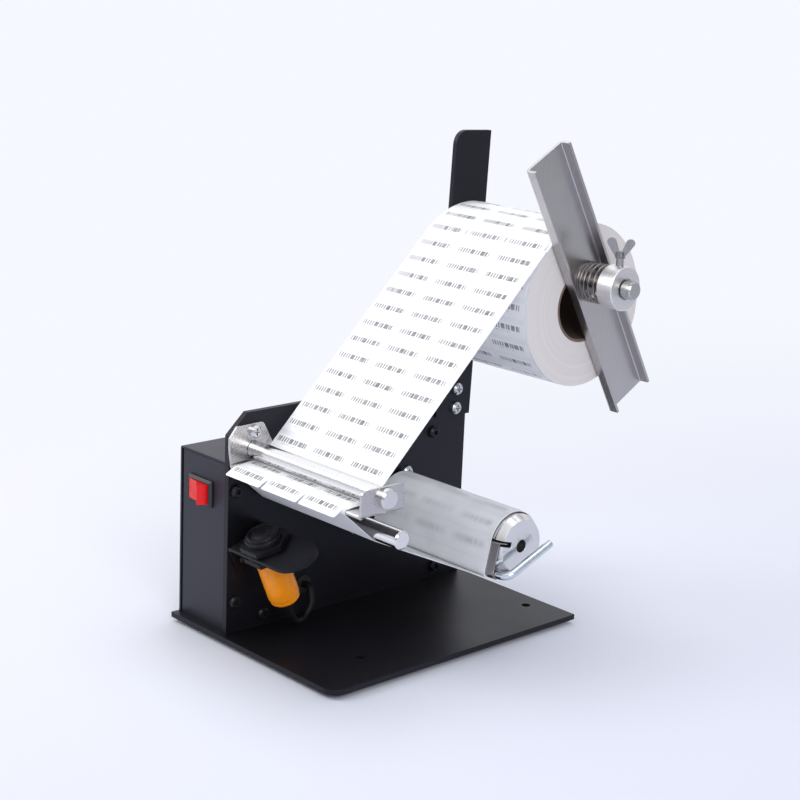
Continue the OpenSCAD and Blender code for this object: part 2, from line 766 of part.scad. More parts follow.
web_roller_r = roller_d / 2 + seat_gap;   // the web's upper face round the press roller
web_roll_r = roll_r + seat_gap;           // the web's lower face round the roll
roller_c = [roller_y, roller_axis_z];
roll_c = [shaft_y, core_z];
web_angle = atan2(roll_c[1] - roller_c[1], roll_c[0] - roller_c[0])
  + asin((web_roller_r + web_roll_r + paper_t) / norm(roll_c - roller_c));
web_low_r = web_roller_r + paper_t;
liner_gap = 0.15;
nose_c = [nose_y + nose_d / 2, nose_z];
liner_nose_r = nose_d / 2 + liner_gap;    // inner face of the liner round the nose
nose_top = nose_c + [0, liner_nose_r];

// The web's lower face, from the nose under the roller and up to the roll
web_path = concat(
  [nose_top + [0.1, 0]],
  arc(roller_c, web_low_r, -90, -90 + web_angle, 10),
  [on_circle(roll_c, web_roll_r, 90 + web_angle)]
);
module label_web() {
  color("#fafafc") placed() along_x(roll_x, roll_end) polygon(ribbon(web_path, paper_t));
}

label_x0 = roll_x + 0.3;                  // the labels lie close to the web's left edge
// Rows of labels on the web's upper face, between the press roller and the roll
label_t = 0.1;
web_start = on_circle(roller_c, web_roller_r, web_angle - 90);
web_run = norm(on_circle(roll_c, web_roll_r + paper_t, web_angle + 90) - web_start);
first_row = 7.4;                          // from the roller to the first whole row
rows = floor((web_run - first_row) / row_pitch);
// The row on the flat stretch between the nose and the press roller
flat_start = nose_c + [0, liner_nose_r + paper_t];
flat_end = roller_c - [0, web_roller_r];
flat_angle = atan2(flat_end[1] - flat_start[1], flat_end[0] - flat_start[0]);
flat_row = 4.8;
module row_of_labels() {
  for (i = [0:2]) translate([label_x0 + i * label_pitch, 0, 0])
    linear_extrude(label_t) rounded_rect(label_w, label_l, 1);
}
module web_labels() {
  color("#ffffff") placed() {
    translate([0, web_start[0], web_start[1]]) rotate([web_angle, 0, 0])
      for (i = [0:rows - 1]) translate([0, first_row + i * row_pitch, 0]) row_of_labels();
    translate([0, flat_start[0], flat_start[1]]) rotate([flat_angle, 0, 0])
      translate([0, flat_row, 0]) row_of_labels();
  }
}

// The row that has left the liner at the nose: it bends over the nose, then droops
label_in_r = liner_nose_r + paper_t + 0.05;
label_leave = on_circle(nose_c, label_in_r, 90 + label_droop);
label_tip = label_leave + (label_out - 1) * [-cos(label_droop), -sin(label_droop)];
label_front = concat(arc(nose_c, label_in_r, 90, 90 + label_droop, 3), [label_tip]);
module front_labels() {
  color("#ffffff") placed() intersection() {
    along_x(roll_x, roll_end) polygon(ribbon(label_front, -paper_t));
    for (i = [0:2]) translate([label_x0 + i * label_pitch, label_tip[0], 0])
      linear_extrude(2 * floor_z) rounded_rect(label_w, label_l, 1, [0, 1]);
  }
}

// The empty liner's lower face: round the nose, under the guide rod, to the drum
rod_c = [rod_y, rod_z];
drum_c = [drum_y, drum_z];
leaf_r = clip_d / 2 + seat_gap + leaf_t;  // outer face of the leaf's curl
curl_r = leaf_r + 0.1 + wound_t;          // outer face of the winding round the curl
clip_c = [clip_y, clip_z];
liner_rod_r = rod_d / 2 + seat_gap;
down_angle = atan2(rod_c[1] - nose_c[1], rod_c[0] - nose_c[0])
  - asin((liner_rod_r - liner_nose_r) / norm(rod_c - nose_c));
run_angle = atan2(clip_c[1] - rod_c[1], clip_c[0] - rod_c[0])
  - asin((curl_r + paper_t - liner_rod_r - paper_t) / norm(clip_c - rod_c));
sweep_r = clip_r + curl_r + seat_gap;     // what the turning drum sweeps
// Where the liner meets the swept circle
rod_leave = on_circle(rod_c, liner_rod_r + paper_t, run_angle - 90);
run_dir = [cos(run_angle), sin(run_angle)];
run_mid = (drum_c - rod_leave) * run_dir;
run_off = norm(drum_c - rod_leave - run_mid * run_dir);
liner_end = rod_leave + (run_mid - sqrt(max(sweep_r * sweep_r - run_off * run_off, 0))) * run_dir;
liner_path = concat(
  arc(nose_c, liner_nose_r + paper_t, 90, 270 + down_angle, 9),
  arc(rod_c, liner_rod_r + paper_t, 270 + down_angle, 270 + run_angle, 4),
  [liner_end]
);
module liner_return() {
  color("#e9e9f0") placed() along_x(roll_x, roll_end) polygon(ribbon(liner_path, paper_t));
}

// ---------------------------------------------------------------- take-up drum

drum_x = plate_face + head_h + 0.6;       // clear of the gear motor's screw heads
drum_end = drum_x + drum_l;
drum_r = drum_d / 2;
drive_socket = 24;
leaf_gap = 0.1;                           // between the leaf and the drum
module take_up_drum() {
  color("#d4d4d9") placed() difference() {
    union() {
      bar_x(drum_d, drum_x, drum_end - drum_chamfer_l, drum_y, drum_z);
      translate([drum_end - drum_chamfer_l, drum_y, drum_z]) rotate([0, 90, 0])
        cylinder(r1 = drum_r, r2 = drum_r - drum_chamfer, h = drum_chamfer_l);
    }
    bar_x(drum_hole_d, drum_end - 16, drum_end + 1, drum_y, drum_z);
    bar_x(drive_d + 2 * run_gap, drum_x - 1, drum_x + drive_socket, drum_y, drum_z);
    along_x(drum_x - 1, drum_end + 1) translate([drum_y, drum_z]) rotate(slot_angle)
      translate([drum_r - slot_d, -slot_w / 2]) square([slot_d + 2, slot_w]);
  }
}

motor_depth = 18;
module drive_shaft() {
  color("#a8a8ae") placed()
    bar_x(drive_d, plate_x - motor_depth + 4, drum_x + drive_socket - 1, drum_y, drum_z);
}

module drum_bush() {
  color("#b08d57") placed() difference() {
    union() {
      bar_x(bush_d, plate_x + 0.2, plate_face + lap, drum_y, drum_z);
      bar_x(bush_d + 4, plate_face, plate_face + 1, drum_y, drum_z);
    }
    bar_x(drive_d + 2 * run_gap, plate_x - 1, plate_face + 2, drum_y, drum_z);
  }
}

// Outline round the drum (radius r0) and the clip's curl (radius r1), with straight sides
leaf_dir = atan2(clip_c[1] - drum_c[1], clip_c[0] - drum_c[0]);
module drum_and_clip(r0, r1) {
  b = acos((r0 - r1) / norm(clip_c - drum_c));
  polygon(concat(
    arc(drum_c, r0, leaf_dir + b, leaf_dir - b + 360, 56),
    arc(clip_c, r1, leaf_dir - b, leaf_dir + b, 12)
  ));
}

wound_in_r = drum_r + leaf_gap + leaf_t + 0.1;   // the liner lies over the leaf
module wound_liner() {
  color("#ededf3") placed() along_x(roll_x, roll_end) difference() {
    drum_and_clip(wound_in_r + wound_t, curl_r);
    drum_and_clip(wound_in_r, curl_r - wound_t);
  }
}

// The leaf: a lip in the drum's slot, a flat outside, and a curl round the clip's wire
leaf_out = 6;                             // how far the leaf stands out past the liner
leaf_lip = 6;
leaf_in_r = leaf_r - leaf_t;
leaf_b = acos((drum_r + leaf_gap + leaf_t - leaf_r) / norm(clip_c - drum_c));
leaf_a = leaf_dir - leaf_b + 360;         // where the leaf leaves the drum and meets the curl
leaf_bend = 0.8;                          // inner radius of the bend into the slot
slot_angle = leaf_a - asin(leaf_bend / (drum_r + leaf_gap));   // of the slot, from +Y towards +Z
leaf_bend_c = drum_c + (drum_r + leaf_gap - leaf_bend) * [cos(slot_angle), sin(slot_angle)]
  + leaf_bend * [-sin(slot_angle), cos(slot_angle)];
leaf_path = concat(
  [on_circle(drum_c, drum_r - leaf_lip, slot_angle)],
  arc(leaf_bend_c, leaf_bend, slot_angle - 90, slot_angle - 18, 4),
  [on_circle(drum_c, drum_r + leaf_gap, leaf_a)],
  arc(clip_c, leaf_in_r, leaf_a, leaf_a + 170, 12)
);
module clip_leaf() {
  color("#a9a6ac") placed() along_x(roll_x, roll_end + leaf_out) polygon(ribbon(leaf_path, -leaf_t));
}

// The clip's wire: a straight leg along the drum, a bend, and the handle across its end
handle_angle = 22;                        // rise of the handle to the back
clip_x0 = roll_x + 3;
clip_face = drum_end + 1;                 // the handle passes this far out
handle_x = clip_face + clip_d / 2 + 4.5;
clip_round = 0.8;                         // chamfer of the handle's end
module liner_clip() {
  color("#b4bcc4") placed() {
    translate([handle_x - clip_bend, clip_y, clip_z]) rotate([handle_angle, 0, 0]) {
      translate([clip_x0 - handle_x + clip_bend, 0, 0]) rotate([0, 90, 0]) rotate([0, 0, -90])
        cylinder(d = clip_d, h = handle_x - clip_bend - clip_x0);
      translate([0, clip_bend, 0]) rotate([0, 0, -90])
        rotate_extrude(angle = 90) translate([clip_bend, 0]) circle(d = clip_d);
      translate([clip_bend, clip_bend, 0]) rotate([-90, 0, 0]) {
        cylinder(d = clip_d, h = clip_handle);
        translate([0, 0, clip_handle]) cylinder(d1 = clip_d, d2 = clip_d - 2 * clip_round, h = clip_round);
      }
    }
  }
}

// ---------------------------------------------------------------- control box

cover_flange = min(flange_w, box_h - rod_z - nut6_af / 2 / cos(30) - 0.5);   // above the guide rod's nut
module box_cover() {
  color("#43444e") placed() difference() {
    along_y(box_y, box_y + box_d) difference() {
      folded_u(plate_x, box_h, box_t, box_r);
      translate([plate_x - box_t - 1, -lap]) square([box_t + 2, box_h - cover_flange + lap]);
    }
    for (p = side_screws) translate([-lap, p[0], p[1]]) rotate([0, 90, 0])
      cylinder(d = side_screw_d + 2 * screw_gap, h = box_t + 2 * lap);
    translate([plate_x - box_t - lap, cover_screw[0], cover_screw[1]]) rotate([0, 90, 0])
      cylinder(d = screw_d + 2 * run_gap, h = box_t + 2 * lap);
  }
}

panel_h = box_h - box_t - panel_gap;
panel_x0 = box_t + 0.1;
panel_w = plate_x - panel_x0;
side_screw_d = 3;
side_screws = [for (y = [box_y + panel_gap + flange_w / 2, box_y + box_d - panel_gap - flange_w / 2], z = [14, 82]) [y, z]];

// A panel across the box with flanges folded inwards, seen from above, front at y = 0
module panel_section() {
  difference() {
    rounded_rect(panel_w, flange_w, box_r, [0, 1]);
    translate([box_t, box_t]) rounded_rect(panel_w - 2 * box_t, flange_w, box_r - box_t, [0, 1]);
  }
}
module panel_flange_holes() {
  for (p = side_screws) translate([panel_x0 - lap, p[0], p[1]]) rotate([0, 90, 0])
    cylinder(d = side_screw_d + 2 * run_gap, h = box_t + 2 * lap);
}

switch_cut_w = switch_w - 2;
switch_cut_h = switch_h - 2;
module front_panel() {
  color("#43444e") placed() difference() {
    translate([panel_x0, box_y + panel_gap, 0]) difference() {
      linear_extrude(panel_h) panel_section();
      // room for the cover's inner flange
      translate([panel_w - box_t - 0.2, -1, box_h - flange_w - 0.5]) cube([box_t + 1, flange_w + 2, flange_w]);
    }
    translate([switch_x - switch_cut_w / 2, box_y - 1, switch_z - switch_cut_h / 2])
      cube([switch_cut_w, flange_w / 2, switch_cut_h]);
    for (p = panel_screws) translate([plate_x - box_t - lap, p[0], p[1]]) rotate([0, 90, 0])
      cylinder(d = screw_d + 2 * run_gap, h = box_t + 2 * lap);
    panel_flange_holes();
  }
}

inlet_x = plate_x / 2;
inlet_body = 11;
module rear_panel() {
  color("#43444e") placed() difference() {
    translate([panel_x0, box_y + box_d - panel_gap, 0]) mirror([0, 1, 0]) difference() {
      linear_extrude(panel_h) panel_section();
      translate([panel_w - box_t - 0.2, -1, box_h - flange_w - 0.5]) cube([box_t + 1, flange_w + 2, flange_w]);
    }
    translate([inlet_x, box_y + box_d + 1, inlet_z]) rotate([90, 0, 0]) cylinder(d = inlet_body + 0.2, h = 8);
    panel_flange_holes();
  }
}

module cover_screws() {
  color("#1c1c20") placed() for (p = side_screws) translate([0, p[0], p[1]])
    mirror([1, 0, 0]) screw(box_t * 3, "hex", side_screw_d, small_head_d, small_head_h);
}

// A barrel inlet with a centre pin, held by its flange and a nut
module power_inlet() {
  back = box_y + box_d - panel_gap;
  color("#18181c") placed() translate([inlet_x, back, inlet_z]) rotate([-90, 0, 0]) {
    difference() {
      union() {
        cylinder(d = inlet_body + 2.6, h = 1.6);
        translate([0, 0, -11]) cylinder(d = inlet_body, h = 11 + lap);
      }
      translate([0, 0, -8]) cylinder(d = inlet_d, h = 12);
    }
    translate([0, 0, -8 - lap]) cylinder(d = 2, h = 7.5);
    translate([0, 0, -box_t - 2.5]) difference() {
      cylinder(d = inlet_body + 3.4, h = 2.4, $fn = 6);
      translate([0, 0, -lap]) cylinder(d = inlet_body - 0.2, h = 3);
    }
  }
}

// The switch: a frame on the panel, a hollow body behind it, and a rocker on a pivot
switch_rim = 2.4;
switch_bevel = 1.4;                       // of the rim's outer edges
switch_body = 14;
rocker_w = switch_w - 3.4;
rocker_h = switch_h - 4;
rocker_r = rocker_w / 2 - 0.3;            // the rocker's ends are arcs round its pivot
rocker_pivot_y = box_y + panel_gap - 1.3; // the pivot lies in front of the panel's face
// A bevelled half section of the rim, its depth against half its width or height
module rim_section(half) {
  polygon([
    [-half, 0], [half, 0], [half, -switch_rim + switch_bevel], [half - switch_bevel, -switch_rim],
    [-half + switch_bevel, -switch_rim], [-half, -switch_rim + switch_bevel]
  ]);
}
module switch_frame() {
  face = box_y + panel_gap;
  color("#26262b") placed() difference() {
    union() {
      translate([switch_x, face, switch_z]) intersection() {
        translate([-switch_w / 2, 0, -switch_h / 2]) along_y(-switch_rim, 0) rounded_rect(switch_w, switch_h, 1);
        translate([0, 0, -switch_h / 2]) linear_extrude(switch_h) rim_section(switch_w / 2);
        translate([-switch_w / 2, 0, 0]) rotate([0, 90, 0]) linear_extrude(switch_w) rim_section(switch_h / 2);
      }
      translate([switch_x - switch_cut_w / 2 + 0.15, face - lap, switch_z - switch_cut_h / 2 + 0.15])
        cube([switch_cut_w - 0.3, switch_body, switch_cut_h - 0.3]);
    }
    translate([switch_x - rocker_w / 2, face - switch_rim - 1, switch_z - rocker_h / 2 - 0.2])
      cube([rocker_w, switch_rim + 1 + switch_body - 3, rocker_h + 0.4]);
  }
  color("#c9a24a") placed() for (x = [-5, 5]) {
    translate([switch_x + x - 0.4, face + switch_body - lap * 2, switch_z - 2.4]) cube([0.8, 7, 4.8]);
  }
}

// Seen from above: a disc round the pivot, cut by two slopes that meet in a valley
rocker_tip_angle = 28;                    // of the ends, from the level rocker's length
module rocker_outline() {
  tip = rocker_r * [cos(rocker_tip_angle), -sin(rocker_tip_angle)];
  intersection() {
    circle(rocker_r);
    polygon([
      [-rocker_r - 1, tip[1] - 1], [-tip[0], tip[1]], [0, tip[1] + 1.8], tip, [rocker_r + 1, tip[1] - 1],
      [rocker_r + 1, 1.6], [2.5, 4.5], [-2.5, 4.5], [-rocker_r - 1, 1.6]
    ]);
  }
}
module switch_rocker() {
  color("#d8202c") placed() translate([switch_x, rocker_pivot_y, switch_z - rocker_h / 2])
    rotate(-rocker_tilt) linear_extrude(rocker_h) rocker_outline();
}

// ---------------------------------------------------------------- inside the box

module gear_motor() {
  gear_w = 54;
  gear_h = 41;
  color("#9a9ca2") placed() difference() {
    union() {
      along_x(plate_x - motor_depth, plate_x) translate(motor_mid - [gear_w / 2, gear_h / 2])
        rounded_rect(gear_w, gear_h, 6);
      bar_x(30, box_t + 2, plate_x - motor_depth + lap, motor_mid[0] - 6, motor_mid[1]);
      bar_x(10, box_t + 1, box_t + 3, motor_mid[0] - 6, motor_mid[1]);
    }
    bar_x(drive_d + 2 * run_gap, plate_x - motor_depth + 3, plate_x + 1, drum_y, drum_z);
    for (p = motor_screws_at) bar_x(screw_d + 2 * run_gap, plate_x - 7, plate_x + 1, p[0], p[1]);
  }
}

board_t = 1.6;
board_at = [50, 25];                      // lower front corner of the board, in Y and Z
board_size = [30, 46];
relay = [12, 10, 14];
plug_strip = [8, 24, 8];
can = [8, 11];                            // a capacitor's diameter and height
pillar_l = 6;
module control_board() {
  x1 = plate_x - pillar_l;
  color("#2f6b46") placed() {
    translate([x1 - board_t, board_at[0], board_at[1]]) cube([board_t, board_size[0], board_size[1]]);
    for (y = [3, board_size[0] - 3], z = [3, board_size[1] - 3])
      bar_x(5, x1 - lap, plate_x, board_at[0] + y, board_at[1] + z);
    translate([x1 - board_t - relay[0], board_at[0] + 3, board_at[1] + 6]) cube(relay + [lap, 0, 0]);
    translate([x1 - board_t - plug_strip[0], board_at[0] + 3, board_at[1] + board_size[1] - 12]) cube(plug_strip + [lap, 0, 0]);
    for (z = [12, 24])
      bar_x(can[0], x1 - board_t - can[1], x1 - board_t + lap, board_at[0] + board_size[0] - 8, board_at[1] + z);
  }
}

// ---------------------------------------------------------------- sensor

// Along the sensor: Z is its axis, Z = 0 the bracket's top face, X = 0 the frame plate's face
module at_sensor() {
  placed() translate([plate_face, sensor_y, sensor_z]) rotate([sensor_tilt, 0, 0]) children();
}
bracket_front = bracket_w * 0.46;

module sensor_bracket() {
  fold = bracket_t + 1;
  color("#35353c") at_sensor() difference() {
    union() {
      intersection() {
        translate([0, 0, -bracket_tab]) along_y(-bracket_front, bracket_w - bracket_front) difference() {
          rounded_rect(bracket_l, bracket_tab, fold, [3]);
          translate([bracket_t, -bracket_t]) rounded_rect(bracket_l, bracket_tab, fold - bracket_t, [3]);
        }
        translate([0, 0, -bracket_tab - 1]) linear_extrude(bracket_tab + 2) bracket_plan();
      }
    }
    translate([sensor_out, 0, -bracket_t - lap]) cylinder(d = sensor_d + 0.3, h = bracket_t + 2 * lap);
    for (p = tab_screws) translate([-lap, p[0], p[1]]) rotate([0, 90, 0])
      cylinder(d = tab_screw_d + 2 * screw_gap, h = bracket_t + 2 * lap);
  }
}
module bracket_plan() {
  r = bracket_w / 2;
  mid = bracket_w / 2 - bracket_front;
  translate([0, -bracket_front]) square([bracket_l - r, bracket_w]);
  translate([bracket_l - r, mid]) circle(r);
}

module sensor_barrel() {
  color("#1d1d22") at_sensor() translate([sensor_out, 0, barrel_above - barrel_l]) {
    difference() {
      union() {
        cylinder(d = sensor_d, h = barrel_l - 0.6);
        translate([0, 0, barrel_l - 0.6]) cylinder(d1 = sensor_d, d2 = sensor_d - 1.2, h = 0.6);
      }
      translate([0, 0, barrel_l - 1]) cylinder(d = sensor_d - 4, h = 2);
    }
  }
}

module sensor_rear() {
  color("#f08a1c") at_sensor() translate([sensor_out, 0, barrel_above - barrel_l - rear_l]) {
    ring_d = sensor_d - 1.6;
    cylinder(d1 = ring_d - 2, d2 = ring_d, h = 1.2);
    translate([0, 0, 1.2]) cylinder(d = ring_d, h = rear_ring - 1.2);
    translate([0, 0, rear_ring]) cylinder(d1 = ring_d, d2 = sensor_d - 0.4, h = 0.6);
    translate([0, 0, rear_ring + 0.6]) cylinder(d = sensor_d - 0.4, h = rear_l - rear_ring - 0.6);
  }
}

// Two nuts, each with a washer face, above and below the bracket. The upper one has a round collar
module sensor_nut(collar = 0) {
  collar_d = nut_af - 3.4;
  difference() {
    union() {
      cylinder(d = nut_af - 0.5, h = 1);
      translate([0, 0, 1 - lap]) cylinder(d = nut_af / cos(30), h = nut_t - 1 + lap, $fn = 6);
      if (collar > 0) translate([0, 0, nut_t - lap]) {
        cylinder(d = collar_d, h = collar - 0.8 + lap);
        translate([0, 0, collar - 0.8]) cylinder(d1 = collar_d, d2 = collar_d - 1.4, h = 0.8);
      }
    }
    translate([0, 0, -lap]) cylinder(d = sensor_d + 2 * run_gap, h = nut_t + collar + 2 * lap);
  }
}
module sensor_nuts() {
  color("#2a2a30") at_sensor() translate([sensor_out, 0, 0]) {
    sensor_nut(nut_collar);
    translate([0, 0, -bracket_t]) mirror([0, 0, 1]) sensor_nut();
  }
}

// The cable's route, from the sensor's rear down to the base and into the frame plate
cable_x = plate_face + sensor_out;
rear_at = -(barrel_l + rear_l - barrel_above);
function sensor_point(w) = [cable_x, sensor_y - w * sin(sensor_tilt), sensor_z + w * cos(sensor_tilt)];
cable_route = [
  sensor_point(rear_at), sensor_point(rear_at - cable_d),
  [65, 34, 10], [62, 39, 5], [59, 44, 3], [57, 50, 4], [56, 55, 10],
  [plate_face + cable_d + 2, cable_hole[0], cable_hole[1]], [plate_face + 1, cable_hole[0], cable_hole[1]]
];

// A smooth curve through the route's points
function route_at(p, i, t) =
  let (a = p[max(i - 1, 0)], b = p[i], c = p[i + 1], d = p[min(i + 2, len(p) - 1)])
  0.5 * (2 * b + (c - a) * t + (2 * a - 5 * b + 4 * c - d) * t * t + (3 * b - a - 3 * c + d) * t * t * t);
cable_steps = 2;
cable_points = concat(
  [cable_route[0]],
  [for (i = [1:len(cable_route) - 3], s = [0:cable_steps - 1]) route_at(cable_route, i, s / cable_steps)],
  [cable_route[len(cable_route) - 2], cable_route[len(cable_route) - 1]]
);
// Each ring's frame is the last one's, turned as little as possible
function across(n, d) = unit(n - (n * d) * d);
function tangent(p, i) = i == 0 ? unit(p[1] - p[0])
  : i == len(p) - 1 ? unit(p[i] - p[i - 1])
  : unit(unit(p[i + 1] - p[i]) + unit(p[i] - p[i - 1]));
function frames(p, i = 0, n = [1, 0, 0]) = i == len(p) ? []
  : let (m = across(n, tangent(p, i))) concat([m], frames(p, i + 1, m));
cable_frames = frames(cable_points);
function cable_ring(i) =
  let (m = cable_frames[i], b = cross(tangent(cable_points, i), m))
  [for (k = [0:7]) cable_points[i] + cable_d / 2 * (cos(45 * k) * m + sin(45 * k) * b)];

module sensor_cable() {
  color("#1a1a1e") placed() tube([for (i = [0:len(cable_points) - 1]) cable_ring(i)]);
}

module cable_grommet() {
  color("#141416") placed() {
    bar_x(grommet_d - 0.2, plate_x - 1.5, plate_face + lap, cable_hole[0], cable_hole[1]);
    bar_x(grommet_d + 2.4, plate_face, plate_face + 1, cable_hole[0], cable_hole[1]);
    bar_x(grommet_d + 2.4, plate_x - 1.5, plate_x, cable_hole[0], cable_hole[1]);
  }
}

// ---------------------------------------------------------------- the object

base_plate();
rubber_feet();
frame_plate();
frame_angle();
arm_plate();
box_cover();
front_panel();
rear_panel();
cover_screws();
power_inlet();
switch_frame();
switch_rocker();
frame_screws();
motor_screws();
arm_screws();
ear_screw();
base_screws();
supply_shaft();
shaft_nuts();
label_roll();
roll_core();
roll_guide();
guide_spring();
shaft_collar();
wing_screw();
peel_bracket();
press_roller();
roller_screw();
roller_pin();
guide_rod();
label_web();
web_labels();
front_labels();
liner_return();
take_up_drum();
drive_shaft();
drum_bush();
wound_liner();
clip_leaf();
liner_clip();
gear_motor();
control_board();
sensor_bracket();
sensor_barrel();
sensor_rear();
sensor_nuts();
sensor_cable();
cable_grommet();
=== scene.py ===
"""Finish, labels, cable and stage of a desk label dispenser.

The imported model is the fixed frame. Lengths are metres, +Z is up, +X runs along
the shafts away from the upright frame plate, and -Y is the front.
"""

import math

import bpy
import numpy as np
from bpy.props import FloatProperty, FloatVectorProperty, IntProperty, PointerProperty
from mathutils import Matrix, Vector


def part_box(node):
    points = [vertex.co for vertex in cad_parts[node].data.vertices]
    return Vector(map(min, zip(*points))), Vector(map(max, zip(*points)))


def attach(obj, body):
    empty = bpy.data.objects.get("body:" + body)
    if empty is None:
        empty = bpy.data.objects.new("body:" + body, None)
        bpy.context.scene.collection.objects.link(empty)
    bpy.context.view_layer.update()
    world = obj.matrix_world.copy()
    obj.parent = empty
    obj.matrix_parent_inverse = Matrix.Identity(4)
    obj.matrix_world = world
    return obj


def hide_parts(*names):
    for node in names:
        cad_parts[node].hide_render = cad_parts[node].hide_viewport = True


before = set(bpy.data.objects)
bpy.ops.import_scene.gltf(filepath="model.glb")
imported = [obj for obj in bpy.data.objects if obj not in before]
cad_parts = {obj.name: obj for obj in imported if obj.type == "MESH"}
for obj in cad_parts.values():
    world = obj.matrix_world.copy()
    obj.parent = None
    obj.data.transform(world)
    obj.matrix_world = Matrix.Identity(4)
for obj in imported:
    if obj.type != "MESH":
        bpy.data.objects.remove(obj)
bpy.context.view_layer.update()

bl_info = {
    "name": "Label Dispenser Dress",
    "version": (1, 0, 0),
    "blender": (4, 5, 0),
    "location": "View3D > Sidebar > Dispenser",
    "description": "Gives a desk label dispenser its coats, metals, labels, cable and stage",
    "category": "Add Mesh",
}


# ------------------------------------------------------------------ places


def bench(x, y, z):
    """A point given in millimetres from the base plate's front left top corner."""
    return np.array([(x - 70) / 1000, (y - 91) / 1000, (z + 3) / 1000])


def span(node):
    """Lowest and highest corner of a node as arrays."""
    lo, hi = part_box(node)
    return np.array(lo), np.array(hi)


def axle(node):
    """(centre in Y and Z, radius, first X, last X) of a round node that lies along X."""
    lo, hi = span(node)
    return (lo + hi)[1:] / 2, (hi - lo)[2] / 2, lo[0], hi[0]


GAP = 0.0003                               # between curved faces of different pieces
PAPER = 0.0003                             # thickness of the web
COLUMNS = 3                                # of labels across the web
LABEL_CORNER = 0.001                       # radius of a label's corners
LABEL_LIFT = 0.00005                       # of the labels over the web at the nose
ROLLER_C, ROLLER_R, _, _ = axle("press_roller")
ROLL_C, ROLL_R, ROLL_X0, ROLL_X1 = axle("label_roll")
DRUM_C, DRUM_R, _, _ = axle("take_up_drum")
NOSE_C = bench(0, 5.2, 95.0)[1:]           # centre of the bracket's nose in Y and Z
NOSE_R = 0.0012
NOSE_GAP = 0.00015                         # between the nose and the web
CLIP_C = bench(0, 109.0, 41.99)[1:]        # centre of the clip's wire in Y and Z
CLIP_R = 0.00225
LEAF_GAP = 0.0001                          # under and over the clip's leaf
LEAF = 0.0005                              # thickness of the leaf
WINDING = 0.0005                           # thickness of the liner wound on the drum
GUIDE_TILT = math.radians(29.8)            # the roll guide's lean about X
SENSOR_MM = (66.0, 14.0, 55.3)             # the sensor's origin in bench millimetres
SENSOR_TILT = math.radians(23)             # how far the sensor's top leans to the front
CABLE_D = 0.004
FLOOR_Z = span("rubber_feet")[0][2]
BACKDROP = (0.925, 0.94, 1.0)


def polar(angle):
    """Unit vectors in Y and Z at angles in radians."""
    return np.stack([np.cos(angle), np.sin(angle)], -1)


def web_line():
    """Start and slope of the web's upper face between the press roller and the roll, and its run.

    The web leaves the roller's lower side and meets the roll's far upper side, so
    its slope is the centres' slope plus asin of the radii's sum over the distance.
    """
    low = ROLLER_R + GAP
    high = ROLL_R + GAP
    d = ROLL_C - ROLLER_C
    slope = math.atan2(d[1], d[0]) + math.asin((low + high + PAPER) / np.hypot(*d))
    start = ROLLER_C + low * polar(slope - math.pi / 2)
    end = ROLL_C + (high + PAPER) * polar(slope + math.pi / 2)
    return start, slope, float(np.hypot(*(end - start)))


# ------------------------------------------------------------------ settings


def number(name, description, default, low, high, **kind):
    """A setting that is a plain number, or an angle where kind says so."""
    return FloatProperty(name=name, description=description, default=default, min=low, max=high, **kind)


def length(name, description, default, low, high):
    """A setting in metres."""
    return number(name, description, default, low, high, unit="LENGTH")


def tone(name, description, default):
    """A setting that is a colour."""
    return FloatVectorProperty(
        name=name, description=description, subtype="COLOR", default=default, min=0, max=1)


class DispenserPaper(bpy.types.PropertyGroup):
    """Sizes of the labels on the web"""

    label_w: length("Label width", "Width of a label across the web", 0.0284, 0.01, 0.03)
    label_l: length("Label length", "Length of a label along the web", 0.0086, 0.005, 0.011)
    column_pitch: length("Column pitch", "From one column of labels to the next", 0.0301, 0.028, 0.031)
    row_pitch: length("Row pitch", "From one row of labels to the next", 0.0117, 0.011, 0.016)
    first_row: length(
        "First row", "From the press roller to the first row on the sloping web", 0.0074, 0.0, 0.012)
    past_nose: length("Past the nose", "How far the front row stands past the nose", 0.0068, 0.002, 0.009)
    label_t: length("Label thickness", "Thickness of a label", 0.0001, 0.00005, 0.0002)
    droop: number(
        "Droop", "Slope of the labels past the nose", math.radians(30), 0.1, 0.8, subtype="ANGLE")
    modules: IntProperty(
        name="Bar modules", description="Number of the bars' places across a label",
        default=30, min=20, max=120)
    white: tone("Label white", "Colour of the coated label paper", (0.93, 0.935, 0.95))
    liner: tone("Liner", "Colour of the glassine liner", (0.87, 0.88, 0.915))
    ink: tone("Ink", "Colour of the printed bars", (0.05, 0.05, 0.06))


class DispenserFinish(bpy.types.PropertyGroup):
    """Colours of the coats, metals and plastics"""

    coat: tone("Plate coat", "Powder coat of the base, frame and arm plates", (0.0062, 0.0062, 0.0082))
    box_coat: tone("Box coat", "Powder coat of the control box", (0.012, 0.0125, 0.019))
    stainless: tone("Stainless", "Satin stainless sheet", (0.50, 0.485, 0.49))
    bar: tone("Bright bar", "Polished round bar", (0.74, 0.735, 0.74))
    zinc: tone("Zinc", "Zinc plated screws", (0.62, 0.63, 0.66))
    orange: tone("Sensor orange", "Moulded rear of the photo sensor", (0.95, 0.29, 0.006))
    red: tone("Rocker red", "Moulded rocker of the switch", (0.70, 0.004, 0.006))
    black: tone("Black plastic", "Moulded black parts", (0.006, 0.006, 0.008))
    roll_side: tone("Roll side", "Cut edges of the wound paper", (0.66, 0.63, 0.62))


